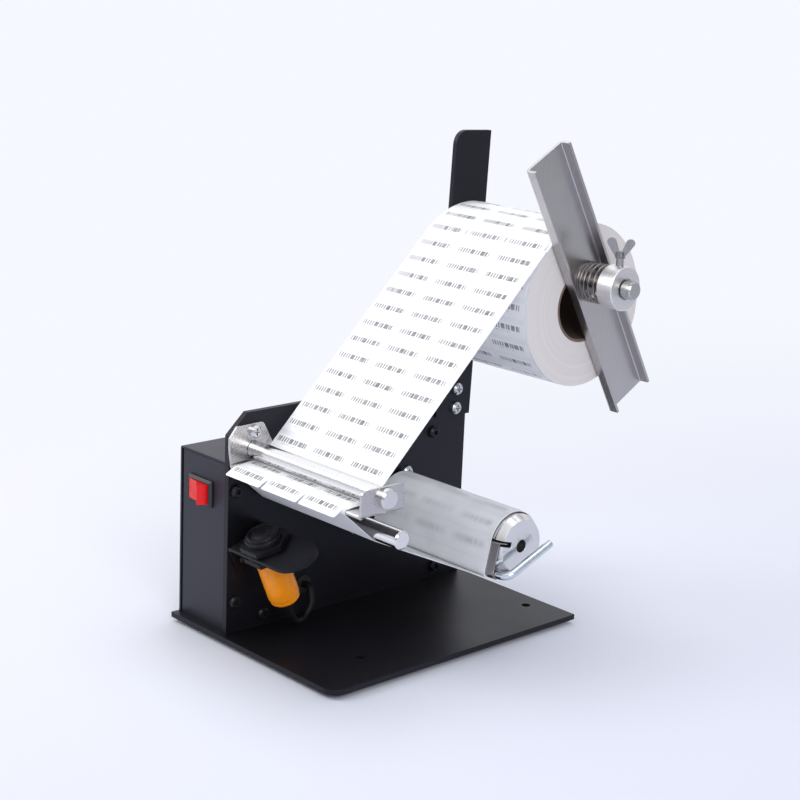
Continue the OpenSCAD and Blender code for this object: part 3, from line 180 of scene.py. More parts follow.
class DispenserStage(bpy.types.PropertyGroup):
    """Lamps, floor and camera"""

    key_power: number("Key lamp", "Power of the large lamp at the front left", 13.2, 0, 200)
    top_power: number("Top lamp", "Power of the lamp overhead", 9.6, 0, 200)
    side_power: number("Side lamp", "Power of the lamp at the right", 12.0, 0, 200)
    sky: number("Sky", "Strength of the even light from all round", 0.56, 0, 2)
    floor: tone("Floor", "Colour of the floor in the viewport's solid view", (0.80, 0.82, 0.93))
    lens: number("Lens", "Focal length of the camera in millimetres", 80.05, 20, 200)


def paper():
    """The paper's settings."""
    return bpy.context.scene.dispenser_paper


def finish():
    """The finishes' settings."""
    return bpy.context.scene.dispenser_finish


def stage():
    """The stage's settings."""
    return bpy.context.scene.dispenser_stage


# ------------------------------------------------------------------ shading

MIX_A, MIX_B, MIX_OUT = 6, 7, 2            # the Mix node's colour sockets, which share their names


def add_node(tree, kind, inputs=(), **settings):
    """A new node. Sockets among its inputs are linked, and plain values are set."""
    made = tree.nodes.new(kind)
    for key, value in settings.items():
        setattr(made, key, value)
    for key, value in dict(inputs).items():
        if isinstance(value, bpy.types.NodeSocket):
            tree.links.new(value, made.inputs[key])
        else:
            made.inputs[key].default_value = value
    return made


def map_range(lo, hi, out_lo, out_hi):
    """The Map Range node's four limits."""
    return {"From Min": lo, "From Max": hi, "To Min": out_lo, "To Max": out_hi}


class Shade:
    """A material's node tree with short calls for the nodes that the finishes use."""

    def __init__(self, name, **sockets):
        self.material = bpy.data.materials.new(name)
        self.material.use_nodes = True
        self.tree = self.material.node_tree
        self.bsdf = self.tree.nodes["Principled BSDF"]
        for key, value in sockets.items():
            socket = self.bsdf.inputs[key.replace("_", " ")]
            socket.default_value = (*value, 1.0) if isinstance(value, tuple) else value
        self.material.diffuse_color = (*self.bsdf.inputs["Base Color"].default_value[:3], 1.0)

    def node(self, kind, inputs=(), **settings):
        return add_node(self.tree, kind, inputs, **settings)

    def place(self, scale=(1, 1, 1), turn=(0, 0, 0), move=(0, 0, 0)):
        """Object coordinates, moved, turned and scaled."""
        raw = self.node("ShaderNodeTexCoord").outputs["Object"]
        inputs = {"Vector": raw, "Location": move, "Rotation": turn, "Scale": scale}
        return self.node("ShaderNodeMapping", inputs).outputs[0]

    def split(self, vector):
        """A vector's X, Y and Z."""
        return self.node("ShaderNodeSeparateXYZ", {"Vector": vector}).outputs

    def join(self, x, y=0.0, z=0.0):
        """A vector of three values."""
        return self.node("ShaderNodeCombineXYZ", {"X": x, "Y": y, "Z": z}).outputs[0]

    def noise(self, scale, vector=None, detail=2.0, rough=0.5):
        """Noise in the object's own coordinates, or in those given."""
        vector = vector if vector is not None else self.place()
        inputs = {"Vector": vector, "Scale": scale, "Detail": detail, "Roughness": rough}
        return self.node("ShaderNodeTexNoise", inputs).outputs["Fac"]

    def math(self, kind, a, b=0.0, c=0.0):
        return self.node("ShaderNodeMath", {0: a, 1: b, 2: c}, operation=kind).outputs[0]

    def add(self, a, b):
        return self.math("ADD", a, b)

    def mul(self, a, b):
        return self.math("MULTIPLY", a, b)

    def blend(self, a, share_a, b, share_b):
        """The sum of two values, each times its share."""
        return self.add(self.mul(a, share_a), self.mul(b, share_b))

    def far(self, a, b):
        """Distance from an axis: the root of the sum of two squares."""
        return self.math("SQRT", self.add(self.mul(a, a), self.mul(b, b)))

    def span(self, value, lo, hi, out_lo=0.0, out_hi=1.0):
        """A straight ramp between two limits, flat outside them."""
        inputs = {"Value": value, **map_range(lo, hi, out_lo, out_hi)}
        return self.node("ShaderNodeMapRange", inputs).outputs[0]

    def band(self, value, lo, hi, soft):
        """1 between two limits, with straight ramps on both sides."""
        return self.mul(self.span(value, lo - soft, lo + soft), self.span(value, hi + soft, hi - soft))

    def inside(self, value, lo, hi):
        """1 between two limits and 0 outside, with sharp edges."""
        return self.mul(self.math("GREATER_THAN", value, lo), self.math("LESS_THAN", value, hi))

    def tint(self, factor, a, b):
        """Colour a where the factor is 0 and b where it is 1."""
        a, b = (c if isinstance(c, bpy.types.NodeSocket) else (*c[:3], 1.0) for c in (a, b))
        inputs = {"Factor": factor, MIX_A: a, MIX_B: b}
        return self.node("ShaderNodeMix", inputs, data_type="RGBA").outputs[MIX_OUT]

    def bump(self, height, depth, strength, after=None):
        """The normal of a height, over another normal where one is given."""
        inputs = {"Height": height, "Distance": depth, "Strength": strength}
        if after is not None:
            inputs["Normal"] = after
        return self.node("ShaderNodeBump", inputs).outputs[0]

    def edge(self, radius):
        """The normal rounded over sharp edges, as a fold or a deburred edge is."""
        return self.node("ShaderNodeBevel", {"Radius": radius}, samples=4).outputs[0]

    def use(self, **links):
        """Links values to the surface's sockets and gives the material."""
        for key, value in links.items():
            self.tree.links.new(value, self.bsdf.inputs[key.replace("_", " ")])
        return self.material


def times(colour, k):
    """A colour times a number, with no channel over 1."""
    return tuple(min(1.0, c * k) for c in colour)


def coat_finish(name, colour, roughness, gloss=0.3):
    """Satin powder coat: a fine orange peel over slow changes of tone, with pale dust."""
    s = Shade(
        name, Base_Color=colour, Roughness=roughness, Specular_IOR_Level=gloss,
        Specular_Tint=(0.82, 0.82, 1.0))
    slow = s.noise(16.0, detail=3.0)
    peel = s.noise(1500.0, detail=1.0)
    dust = s.span(s.noise(2600.0, detail=0.0), 0.74, 0.82)
    base = s.tint(s.span(slow, 0.35, 0.65), times(colour, 0.8), times(colour, 1.25))
    base = s.tint(s.mul(dust, 0.05), base, (0.4, 0.4, 0.45))
    rough = s.span(s.add(slow, s.mul(peel, 0.4)), 0.5, 0.9, roughness - 0.05, roughness + 0.07)
    return s.use(Base_Color=base, Roughness=rough, Normal=s.bump(peel, 0.00006, 0.5, s.edge(0.0004)))


BRUSHED_X = (9, 1300, 1300)                # scale of brushing that runs along X
BRUSHED_Z = (1300, 1300, 9)


def sheet_finish(name, colour, roughness, brushing=BRUSHED_X, turn=(0, 0, 0)):
    """Satin stainless: brushing stretched along one axis, cloudy tone and stray scratches."""
    s = Shade(name, Base_Color=colour, Metallic=1.0, Roughness=roughness)
    brush = s.noise(1.0, s.place(brushing, turn), detail=3.0, rough=0.6)
    cloud = s.noise(22.0, detail=4.0)
    scratch = s.noise(1.0, s.place((50, 900, 130), (0.5, 0.3, 0.2)), detail=1.0)
    off_line = s.math("ABSOLUTE", s.math("SUBTRACT", scratch, 0.5))
    thin = s.math("SUBTRACT", 1.0, s.span(off_line, 0.0, 0.012))
    shade = s.blend(brush, 0.5, cloud, 0.5)
    base = s.tint(s.span(shade, 0.36, 0.64), times(colour, 0.96), times(colour, 1.04))
    base = s.tint(s.mul(thin, 0.06), base, times(colour, 1.3))
    rough = s.span(shade, 0.35, 0.65, roughness - 0.03, roughness + 0.05)
    return s.use(Base_Color=base, Roughness=rough, Normal=s.bump(brush, 0.000004, 0.2, s.edge(0.0003)))


def bar_finish(name, colour, centre, roughness):
    """Polished round stock: turning marks that depend on X and on the distance from the axis."""
    s = Shade(name, Base_Color=colour, Metallic=1.0, Roughness=roughness)
    x, y, z = s.split(s.place(move=(0, -centre[0], -centre[1])))
    rings = s.noise(1.0, s.join(s.mul(x, 1400.0), s.mul(s.far(y, z), 3200.0)), detail=3.0)
    drawn = s.noise(1.0, s.place((16, 900, 900)), detail=2.0)
    mix = s.blend(rings, 0.6, drawn, 0.4)
    base = s.tint(s.span(mix, 0.38, 0.62), times(colour, 0.93), times(colour, 1.05))
    rough = s.span(mix, 0.35, 0.65, roughness - 0.03, roughness + 0.05)
    return s.use(Base_Color=base, Roughness=rough, Normal=s.bump(rings, 0.000006, 0.25, s.edge(0.0003)))


def plated_finish(name, colour, roughness, metallic=1.0):
    """Zinc plate or oxide on small turned and pressed parts, with a blotchy tone."""
    s = Shade(name, Base_Color=colour, Metallic=metallic, Roughness=roughness)
    blot = s.noise(420.0, detail=3.0)
    base = s.tint(s.span(blot, 0.35, 0.65), times(colour, 0.90), times(colour, 1.07))
    rough = s.span(blot, 0.3, 0.7, roughness - 0.05, roughness + 0.07)
    return s.use(Base_Color=base, Roughness=rough, Normal=s.bump(blot, 0.000008, 0.3, s.edge(0.00015)))


def moulded_finish(name, colour, roughness, grain, scale=1800.0, gloss=0.5):
    """Moulded plastic or rubber: a fine spark grain and slow tone."""
    s = Shade(name, Base_Color=colour, Roughness=roughness, Specular_IOR_Level=gloss)
    fine = s.noise(scale, detail=2.0)
    slow = s.noise(60.0, detail=2.0)
    base = s.tint(s.span(slow, 0.3, 0.7), times(colour, 0.84), times(colour, 1.14))
    rough = s.span(s.add(fine, slow), 0.7, 1.3, roughness - 0.06, roughness + 0.10)
    return s.use(Base_Color=base, Roughness=rough, Normal=s.bump(fine, 0.00005, grain, s.edge(0.00025)))


def roll_finish(name):
    """Wound paper: fine rings by the distance from the axis on the cut side, glassy on the round."""
    side = tuple(finish().roll_side)
    s = Shade(name, Base_Color=side, Roughness=0.55, Specular_IOR_Level=0.4)
    _, y, z = s.split(s.place(move=(0, -ROLL_C[0], -ROLL_C[1])))
    radius = s.far(y, z)
    turned = s.join(s.mul(radius, 2600.0), s.mul(y, 9.0), s.mul(z, 9.0))
    rings = s.noise(1.0, turned, detail=4.0, rough=0.7)
    wide = s.noise(1.0, s.join(s.mul(radius, 330.0), s.mul(y, 6.0)), detail=2.0)
    mix = s.blend(rings, 0.6, wide, 0.4)
    base = s.tint(s.span(mix, 0.36, 0.62), times(side, 0.95), times(side, 1.06))
    normal = s.node("ShaderNodeNewGeometry").outputs["Normal"]
    flat = s.math("ABSOLUTE", s.split(normal)[0])
    base = s.tint(s.span(flat, 0.4, 0.7), tuple(paper().liner), base)
    return s.use(Base_Color=base, Normal=s.bump(rings, 0.00003, 0.4))


def liner_finish(name, colour, rows=0.0):
    """Glassine: smooth and cloudy. Where it is wound, the prints of the layers below show faintly.

    The ghosts are rows of bars in columns at the labels' pitch along X. rows gives their
    number round the winding, by the angle about its axis.
    """
    s = Shade(name, Base_Color=colour, Roughness=0.34, Specular_IOR_Level=0.4, Alpha=0.96)
    cloud = s.noise(60.0, detail=3.0)
    fine = s.noise(1.0, s.place((260, 1300, 1300)), detail=2.0)
    base = s.tint(s.span(cloud, 0.3, 0.7), times(colour, 0.95), times(colour, 1.04))
    if rows:
        x, y, z = s.split(s.place(move=(-ROLL_X0, -DRUM_C[0], -DRUM_C[1])))
        across = s.math("FRACT", s.math("DIVIDE", x, paper().column_pitch))
        row = s.blend(s.math("ARCTAN2", z, y), rows / math.tau, across, 0.03)
        along = s.math("FRACT", row)
        strip = s.mul(s.band(along, 0.30, 0.56, 0.10), s.band(across, 0.08, 0.88, 0.05))
        cell = s.join(s.mul(across, 17.0), s.math("FLOOR", row))
        bars = s.span(s.noise(1.0, cell, detail=1.0), 0.30, 0.62, 0.35, 1.0)
        patch = s.span(s.noise(34.0, detail=1.0), 0.38, 0.62, 0.25, 1.0)
        ghost = s.mul(s.mul(strip, bars), s.mul(patch, 0.62))
        base = s.tint(ghost, base, times(colour, 0.45))
        base = s.tint(s.mul(s.band(along, 0.90, 0.98, 0.03), 0.10), base, times(colour, 0.7))
    return s.use(Base_Color=base, Normal=s.bump(fine, 0.00002, 0.25))


def print_finish(name):
    """Coated label with bars: the print depends on the label's own map, U across and V along.

    The whole part of U is the label's number. The bars' strip is cut into equal modules.
    Every second one is dark for most values of a fixed hash, and the others for few, with
    more dark ones at the right. Narrow bars differ from label to label, and the two end
    bars are always dark. Small grey dashes stand below the strip.
    """
    p = paper()
    s = Shade(name, Base_Color=tuple(p.white), Roughness=0.38, Specular_IOR_Level=0.45)
    counted, v, _ = s.split(s.node("ShaderNodeUVMap", uv_map="label").outputs[0])
    u = s.math("FRACT", counted)
    label = s.math("FLOOR", counted)

    def hashed(a, b):
        """A fixed value from 0 to 1 for each whole step of a, in row b."""
        inputs = {"Vector": s.join(s.math("FLOOR", a), b)}
        return s.node("ShaderNodeTexWhiteNoise", inputs, noise_dimensions="2D").outputs["Value"]

    left, right = 0.075, 0.885
    strip = s.mul(s.inside(u, left, right), s.inside(v, 0.50, 0.85))
    place = s.mul(u, float(p.modules))
    even = s.math("LESS_THAN", s.math("MODULO", s.math("FLOOR", place), 2.0), 0.5)
    chance = s.math("MULTIPLY_ADD", even, 0.80, s.span(u, 0.2, 0.9, 0.10, 0.24))
    wide = s.math("LESS_THAN", hashed(place, 3.0), chance)
    half_place = s.mul(u, 2.0 * p.modules)
    narrow = s.math("LESS_THAN", hashed(half_place, label), s.span(u, 0.3, 0.8, 0.04, 0.16))
    ends = s.math("MAXIMUM", s.inside(u, left, 0.092), s.inside(u, 0.868, right))
    bars = s.mul(strip, s.math("MAXIMUM", s.math("MAXIMUM", wide, narrow), ends))
    dashes = s.mul(s.inside(u, 0.24, 0.62), s.inside(v, 0.33, 0.41))
    dash = hashed(s.mul(u, 60.0), s.math("FLOOR", s.mul(v, 24.0)))
    marks = s.mul(dashes, s.math("GREATER_THAN", dash, 0.45))
    fade = s.span(s.noise(300.0), 0.3, 0.7, 0.58, 0.86)
    ink = s.math("MAXIMUM", s.mul(bars, fade), s.mul(marks, 0.36))
    soft = s.noise(120.0, detail=2.0)
    blank = s.tint(s.span(soft, 0.3, 0.7), times(p.white, 0.985), tuple(p.white))
    return s.use(
        Base_Color=s.tint(ink, blank, tuple(p.ink)), Normal=s.bump(s.noise(2400.0), 0.000015, 0.3))


MATERIALS = {}


def material(name, build, *arguments, **settings):
    """A material that is made once and then shared."""
    if name not in MATERIALS:
        MATERIALS[name] = build(name, *arguments, **settings)
    return MATERIALS[name]


def dress(finished, *names):
    """Gives CAD nodes one material."""
    for name in names:
        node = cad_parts[name]
        node.data.materials.clear()
        node.data.materials.append(finished)


# ------------------------------------------------------------------ surfaces


def grid_faces(n, m, wrap_n=False, wrap_m=False):
    """Quads of an n by m grid of points, joined end to end where asked."""
    i = np.arange(n if wrap_n else n - 1)[:, None]
    j = np.arange(m if wrap_m else m - 1)[None, :]
    i2, j2 = (i + 1) % n, (j + 1) % m
    return np.stack([i * m + j, i2 * m + j, i2 * m + j2, i * m + j2], -1).reshape(-1, 4)


def make(name, points, faces, body, finished, replaced=(), uv=None, sharp=35.0):
    """A mesh object at the origin from arrays of points and quads, riding on a body.

    A quad that names a corner twice becomes a triangle. uv has one pair for each point,
    and sharp is the angle in degrees past which an edge isn't smooth.
    """
    mesh = bpy.data.meshes.new(name)
    mesh.from_pydata(points.tolist(), [], [list(dict.fromkeys(f)) for f in faces.tolist()])
    mesh.polygons.foreach_set("use_smooth", np.ones(len(mesh.polygons), bool))
    if uv is not None:
        layer = mesh.uv_layers.new(name="label")
        corners = np.zeros(len(mesh.loops), np.int32)
        mesh.loops.foreach_get("vertex_index", corners)
        layer.data.foreach_set("uv", uv[corners].astype(np.float32).ravel())
    mesh.update()
    mesh.set_sharp_from_angle(angle=math.radians(sharp))
    mesh.materials.append(finished)
    made = bpy.data.objects.new(name, mesh)
    bpy.context.scene.collection.objects.link(made)
    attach(made, body)
    if replaced:
        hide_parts(*replaced)
    return made


def slab(top, thick, normal):
    """Closed thin solids over grids of points.

    top has the shape (pieces, n, m, 3). Each grid gets a second copy moved by -thick along
    its normal, and the two are joined round their rim by a strip of quads.
    """
    k, n, m, _ = top.shape
    low = top - thick * normal
    points = np.concatenate([top.reshape(k, -1, 3), low.reshape(k, -1, 3)], 1)
    face = grid_faces(n, m)
    i, j = np.arange(n), np.arange(m)
    rim = np.concatenate([i[:-1] * m, (n - 1) * m + j[:-1], i[:0:-1] * m + m - 1, j[:0:-1]])
    after = np.roll(rim, -1)
    side = np.stack([after, rim, rim + n * m, after + n * m], -1)
    one = np.concatenate([face, face[:, ::-1] + n * m, side])
    faces = (one[None] + (np.arange(k) * 2 * n * m)[:, None, None]).reshape(-1, 4)
    return points.reshape(-1, 3), faces


def label_grid(wide, long, corner, rows=17, columns=7):
    """Offsets across and along a rounded rectangle, and its map from 0 to 1.

    The rows are even, with three more near each end. Each row's half width is the
    rectangle's, less the corner radius, plus the square root of the radius squared less
    the row's depth into the corner squared.
    """
    ends = np.array([0.9, 0.95, 0.985])
    t = np.sort(np.concatenate([np.linspace(-1, 1, rows - 2 * len(ends)), -ends, ends]))
    along = t * long / 2
    deep = np.clip(np.abs(along) - (long / 2 - corner), 0, corner)
    half = wide / 2 - corner + np.sqrt(np.clip(corner**2 - deep**2, 0, None))
    across = np.linspace(-1, 1, columns)[None, :] * half[:, None]
    along = np.repeat(along[:, None], columns, 1)
    return across, along, across / wide + 0.5, along / long + 0.5


def label_pieces(name, surface, rows, body, replaced=()):
    """All the labels that lie on one surface of the web, as one piece.

    surface takes a distance along the web and gives the point in Y and Z and the outward
    normal. Rows are the distances of the labels' middles, and columns stand a pitch apart.
    Both faces of a label share its map, whose U starts at the label's number.
    """
    p = paper()
    across, along, u, v = label_grid(p.label_w, p.label_l, LABEL_CORNER)
    columns = ROLL_X0 + GAP + p.label_w / 2 + np.arange(COLUMNS) * p.column_pitch
    place = np.stack(np.meshgrid(columns, rows, indexing="ij"), -1).reshape(-1, 2)
    x = place[:, 0, None, None] + across[None]
    s = place[:, 1, None, None] + along[None]
    yz, out = surface(s)
    top = np.concatenate([x[..., None], yz + out * p.label_t], -1)
    normal = np.concatenate([np.zeros_like(x)[..., None], out], -1)
    points, faces = slab(top, p.label_t * 0.98, normal)
    number_of = np.arange(len(place))[:, None, None]
    counted = np.clip(u, 0.001, 0.999)[None] + number_of
    one_side = np.stack([counted, np.repeat(v[None], len(place), 0)], -1).reshape(len(place), -1, 2)
    uv = np.concatenate([one_side, one_side], 1).reshape(-1, 2)
    printed = material("printed_label", print_finish)
    return make(name, points, faces, body, printed, replaced, uv)


def capped(points, rings, sides, poles):
    """Points and faces of a stack of rings, with each end closed by a fan round its pole."""
    first = np.arange(sides)
    after = (first + 1) % sides
    last = (rings - 1) * sides
    pole = np.full(sides, len(points))
    start = np.stack([pole, pole, first, after], -1)
    end = np.stack([pole + 1, pole + 1, last + after, last + first], -1)
    faces = grid_faces(rings, sides, wrap_m=True)[:, ::-1]
    return np.concatenate([points, poles]), np.concatenate([faces, start, end])


def tube(path, radius, sides, reference):
    """Closed round tube along a path.

    Each ring lies across the path's direction. Its first axis is the reference less its part
    along the direction, and the second is the cross product. The ends close on the path.
    """
    reference = np.asarray(reference, float)
    direction = np.gradient(path, axis=0)
    direction /= np.linalg.norm(direction, axis=1, keepdims=True)
    a = reference - (direction @ reference)[:, None] * direction
    a /= np.linalg.norm(a, axis=1, keepdims=True)
    b = np.cross(direction, a)
    angle = np.linspace(0, 2 * math.pi, sides, endpoint=False)
    ring = np.cos(angle)[None, :, None] * a[:, None] + np.sin(angle)[None, :, None] * b[:, None]
    points = (path[:, None] + radius * ring).reshape(-1, 3)
    return capped(points, len(path), sides, path[[0, -1]])


def lathe(profile, place, sides=64):
    """Surface of revolution of a profile of (radius, height), closed at both ends on its axis.

    place turns points given about a local Z axis into the frame.
    """
    angle = np.linspace(0, 2 * math.pi, sides, endpoint=False)
    ring = np.stack([np.cos(angle), np.sin(angle), np.zeros(sides)], -1)
    points = profile[:, 0, None, None] * ring[None] + np.array([0, 0, 1.0]) * profile[:, 1, None, None]
    poles = np.array([[0, 0, profile[0, 1]], [0, 0, profile[-1, 1]]])
    points, faces = capped(points.reshape(-1, 3), len(profile), sides, poles)
    return place(points), faces


# ------------------------------------------------------------------ operators


class DISPENSER_OT_stage(bpy.types.Operator):
    """Make the floor, the lamps, the sky and the camera"""

    bl_idname = "dispenser.stage"
    bl_label = "Stage"

    def execute(self, context):
        self.camera()
        self.floor()
        self.sky()
        g = stage()
        self.lamp("key_lamp", (-0.95, -1.25, 1.15), (0, 0, 0.08), 0.9, g.key_power)
        self.lamp("top_lamp", (-0.15, 0.35, 1.55), (0, 0, 0.10), 1.1, g.top_power)
        self.lamp("side_lamp", (1.5, -0.7, 0.9), (0, 0, 0.15), 0.8, g.side_power)
        return {"FINISHED"}

    def camera(self):
        """The photograph's camera: its place and its right, up and back directions."""
        place = (0.6990, -0.6412, 0.3725)
        right = Vector((0.6748, 0.7369, 0.0406)).normalized()
        back = Vector((0.7074, -0.6615, 0.2492)).normalized()
        up = back.cross(right).normalized()
        right = up.cross(back)
        data = bpy.data.cameras.new("camera")
        data.sensor_width = 36.0
        data.lens = stage().lens
        data.clip_start, data.clip_end = 0.05, 50.0
        made = bpy.data.objects.new("camera", data)
        turn = Matrix((right, up, back)).transposed().to_4x4()
        made.matrix_world = Matrix.Translation(place) @ turn
        bpy.context.scene.collection.objects.link(made)
        bpy.context.scene.camera = made
        bpy.context.scene.view_settings.view_transform = "Standard"

    def floor(self):
        """A wide floor whose far part fades to the pale backdrop's own light. Near the object its colour
        turns a darker blue towards +X: a painted shade, in its lit colour and in its glow.
        """
        s = Shade("floor", Base_Color=tuple(stage().floor), Roughness=0.6, Specular_IOR_Level=0.2)
        x, y, _ = s.split(s.place())
        far = s.far(x, y)
        across = s.blend(x, 0.72, y, 0.2)
        near = s.math("SUBTRACT", 1.0, s.span(far, 0.45, 1.1))
        # painted shade: near the object the floor's colour turns a darker blue towards +X
        painted_shade_blue = (0.735, 0.76, 0.925)
        pale = s.tint(s.mul(s.span(across, -0.25, 0.45), near), BACKDROP, painted_shade_blue)
        s.use(Base_Color=s.tint(0.13, pale, (0, 0, 0)))
        glow = s.node("ShaderNodeEmission", {"Color": pale, "Strength": 1.0}).outputs[0]
        eye = s.node("ShaderNodeLightPath").outputs["Is Camera Ray"]
        fade = s.mul(eye, s.span(far, 0.12, 0.42))
        mix = s.node("ShaderNodeMixShader", {0: fade, 1: s.bsdf.outputs[0], 2: glow}).outputs[0]
        s.tree.links.new(mix, s.tree.nodes["Material Output"].inputs["Surface"])
        reach = 30.0
        x, y = np.meshgrid(np.linspace(-reach, reach, 3), np.linspace(-reach, reach, 3), indexing="ij")
        points = np.stack([x, y, np.full_like(x, FLOOR_Z)], -1).reshape(-1, 3)
        mesh = bpy.data.meshes.new("floor")
        mesh.from_pydata(points.tolist(), [], grid_faces(3, 3).tolist())
        mesh.materials.append(s.material)
        made = bpy.data.objects.new("floor", mesh)
        bpy.context.scene.collection.objects.link(made)

    def sky(self):
        """Even pale light, brighter overhead and at the left for what metal reflects."""
        world = bpy.data.worlds.new("sky")
        world.use_nodes = True
        bpy.context.scene.world = world
        tree = world.node_tree
        tree.nodes.clear()

        def light(colour, strength):
            inputs = {"Color": (*colour, 1.0), "Strength": strength}
            return add_node(tree, "ShaderNodeBackground", inputs).outputs[0]

        def ramp(value, *limits):
            inputs = {"Value": value, **map_range(*limits)}
            return add_node(tree, "ShaderNodeMapRange", inputs).outputs[0]

        def choose(ray, other, chosen):
            inputs = {0: path.outputs[ray], 1: other, 2: chosen}
            return add_node(tree, "ShaderNodeMixShader", inputs).outputs[0]

        way = add_node(tree, "ShaderNodeTexCoord").outputs["Generated"]
        x, _, z = add_node(tree, "ShaderNodeSeparateXYZ", {"Vector": way}).outputs
        up = ramp(z, -0.2, 0.9, 0.45, 1.25)
        left = ramp(x, 0.9, -0.9, 0.55, 1.35)
        shine = add_node(tree, "ShaderNodeMath", {0: up, 1: left}, operation="MULTIPLY").outputs[0]
        path = add_node(tree, "ShaderNodeLightPath")
        lit = choose("Is Glossy Ray", light((0.93, 0.95, 1.0), stage().sky), light((0.95, 0.96, 1.0), shine))
        seen = choose("Is Camera Ray", lit, light(BACKDROP, 1.0))
        add_node(tree, "ShaderNodeOutputWorld", {"Surface": seen})

    def lamp(self, name, place, target, size, power):
        """A square soft lamp that faces a target."""
        data = bpy.data.lights.new(name, "AREA")
        data.shape, data.size, data.energy = "SQUARE", size, power
        made = bpy.data.objects.new(name, data)
        aim = Vector(target) - Vector(place)
        made.matrix_world = Matrix.Translation(place) @ aim.to_track_quat("-Z", "Y").to_matrix().to_4x4()
        bpy.context.scene.collection.objects.link(made)


class DISPENSER_OT_cable(bpy.types.Operator):
    """Make the sensor's cable, from the sensor's end to the grommet in the frame plate"""

    bl_idname = "dispenser.cable"
    bl_label = "Sensor cable"

    def execute(self, context):
        x, y, z = SENSOR_MM

        def sensor(w):
            """The point w millimetres up the sensor's axis from its origin."""
            return [x, y - w * math.sin(SENSOR_TILT), z + w * math.cos(SENSOR_TILT)]

        route = np.array([
            sensor(-36.8), sensor(-40.8), [65, 34, 10], [62, 39, 5], [59, 44, 3], [57, 50, 4],
            [56, 55, 10], [51.8, 57, 18], [46.8, 57, 18]])
        path = bench(*self.smooth(route).T).T
        rubber = material("cable_rubber", moulded_finish, (0.005, 0.005, 0.006), 0.5, 0.3, gloss=0.25)
        points, faces = tube(path, CABLE_D / 2, 20, (0.6, -0.5, 0.6))
        made = make("sensor_lead", points, faces, "frame", rubber, ("sensor_cable",))
        return {"FINISHED"}

    def smooth(self, p, steps=6):
        """A curve through the route's points whose tangents are half the difference of neighbours."""
        n = len(p) - 1
        i = np.repeat(np.arange(n), steps)
        t = np.tile(np.arange(steps) / steps, n)[:, None]
        a, b, c, d = p[np.maximum(i - 1, 0)], p[i], p[i + 1], p[np.minimum(i + 2, n)]
        q = 0.5 * (2 * b + (c - a) * t + (2 * a - 5 * b + 4 * c - d) * t**2 + (3 * b - a - 3 * c + d) * t**3)
        return np.concatenate([q, p[-1:]])


class DISPENSER_OT_coats(bpy.types.Operator):
    """Coat the plates, the box and the sensor's bracket"""

    bl_idname = "dispenser.coats"
    bl_label = "Powder coats"

    def execute(self, context):
        f = finish()
        dress(material("plate_coat", coat_finish, tuple(f.coat), 0.40),
              "base_plate", "frame_plate", "arm_plate")
        dress(material("box_coat", coat_finish, tuple(f.box_coat), 0.38, 0.4),
              "box_cover", "front_panel", "rear_panel")
        # The sensor bracket has the plate coat at 0.7 of its colour: a painted shade, as it is the same
        # coat.
        dress(material("bracket_coat", coat_finish, times(f.coat, 0.7), 0.44, 0.25), "sensor_bracket")
        return {"FINISHED"}


class DISPENSER_OT_sheets(bpy.types.Operator):
    """Brush the stainless bracket, the roll guide and the clip's leaf"""

    bl_idname = "dispenser.sheets"
    bl_label = "Stainless sheets"

    def execute(self, context):
        steel = tuple(finish().stainless)
        dress(material("bracket_steel", sheet_finish, steel, 0.27), "peel_bracket")
        dress(material("guide_steel", sheet_finish, steel, 0.30, BRUSHED_Z, (-GUIDE_TILT, 0, 0)),
              "roll_guide")
        dress(material("leaf_steel", sheet_finish, times(steel, 0.8), 0.34), "clip_leaf")
        return {"FINISHED"}


class DISPENSER_OT_bars(bpy.types.Operator):
    """Polish the shaft, the rollers, the rod, the drum, the collar and the clip's wire"""

    bl_idname = "dispenser.bars"
    bl_label = "Bright bars"

    def execute(self, context):
        bar = tuple(finish().bar)
        for name, bright, rough in (
                ("supply_shaft", 0.62, 0.24), ("press_roller", 0.98, 0.16), ("guide_rod", 1.0, 0.12),
                ("take_up_drum", 1.0, 0.20), ("shaft_collar", 0.98, 0.36), ("roller_screw", 0.9, 0.18)):
            centre = axle(name)[0]
            dress(material(name + "_polish", bar_finish, times(bar, bright), centre, rough), name)
        dress(material("clip_zinc", plated_finish, (0.70, 0.77, 0.84), 0.2), "liner_clip")
        return {"FINISHED"}


class DISPENSER_OT_fasteners(bpy.types.Operator):
    """Plate or blacken the screws, nuts and small fittings"""

    bl_idname = "dispenser.fasteners"
    bl_label = "Fasteners"

    def execute(self, context):
        dress(material("zinc_plate", plated_finish, tuple(finish().zinc), 0.28),
              "motor_screws", "arm_screws", "ear_screw", "shaft_nuts", "roller_pin", "drive_shaft",
              "frame_angle")
        dress(material("wing_steel", plated_finish, (0.36, 0.355, 0.37), 0.2), "wing_screw")
        dress(material("black_oxide", plated_finish, (0.020, 0.020, 0.022), 0.36, 0.6),
              "frame_screws", "cover_screws", "base_screws")
        dress(material("sintered_bronze", plated_finish, (0.42, 0.27, 0.12), 0.4), "drum_bush")
        dress(material("motor_casting", plated_finish, (0.45, 0.46, 0.48), 0.42), "gear_motor")
        return {"FINISHED"}


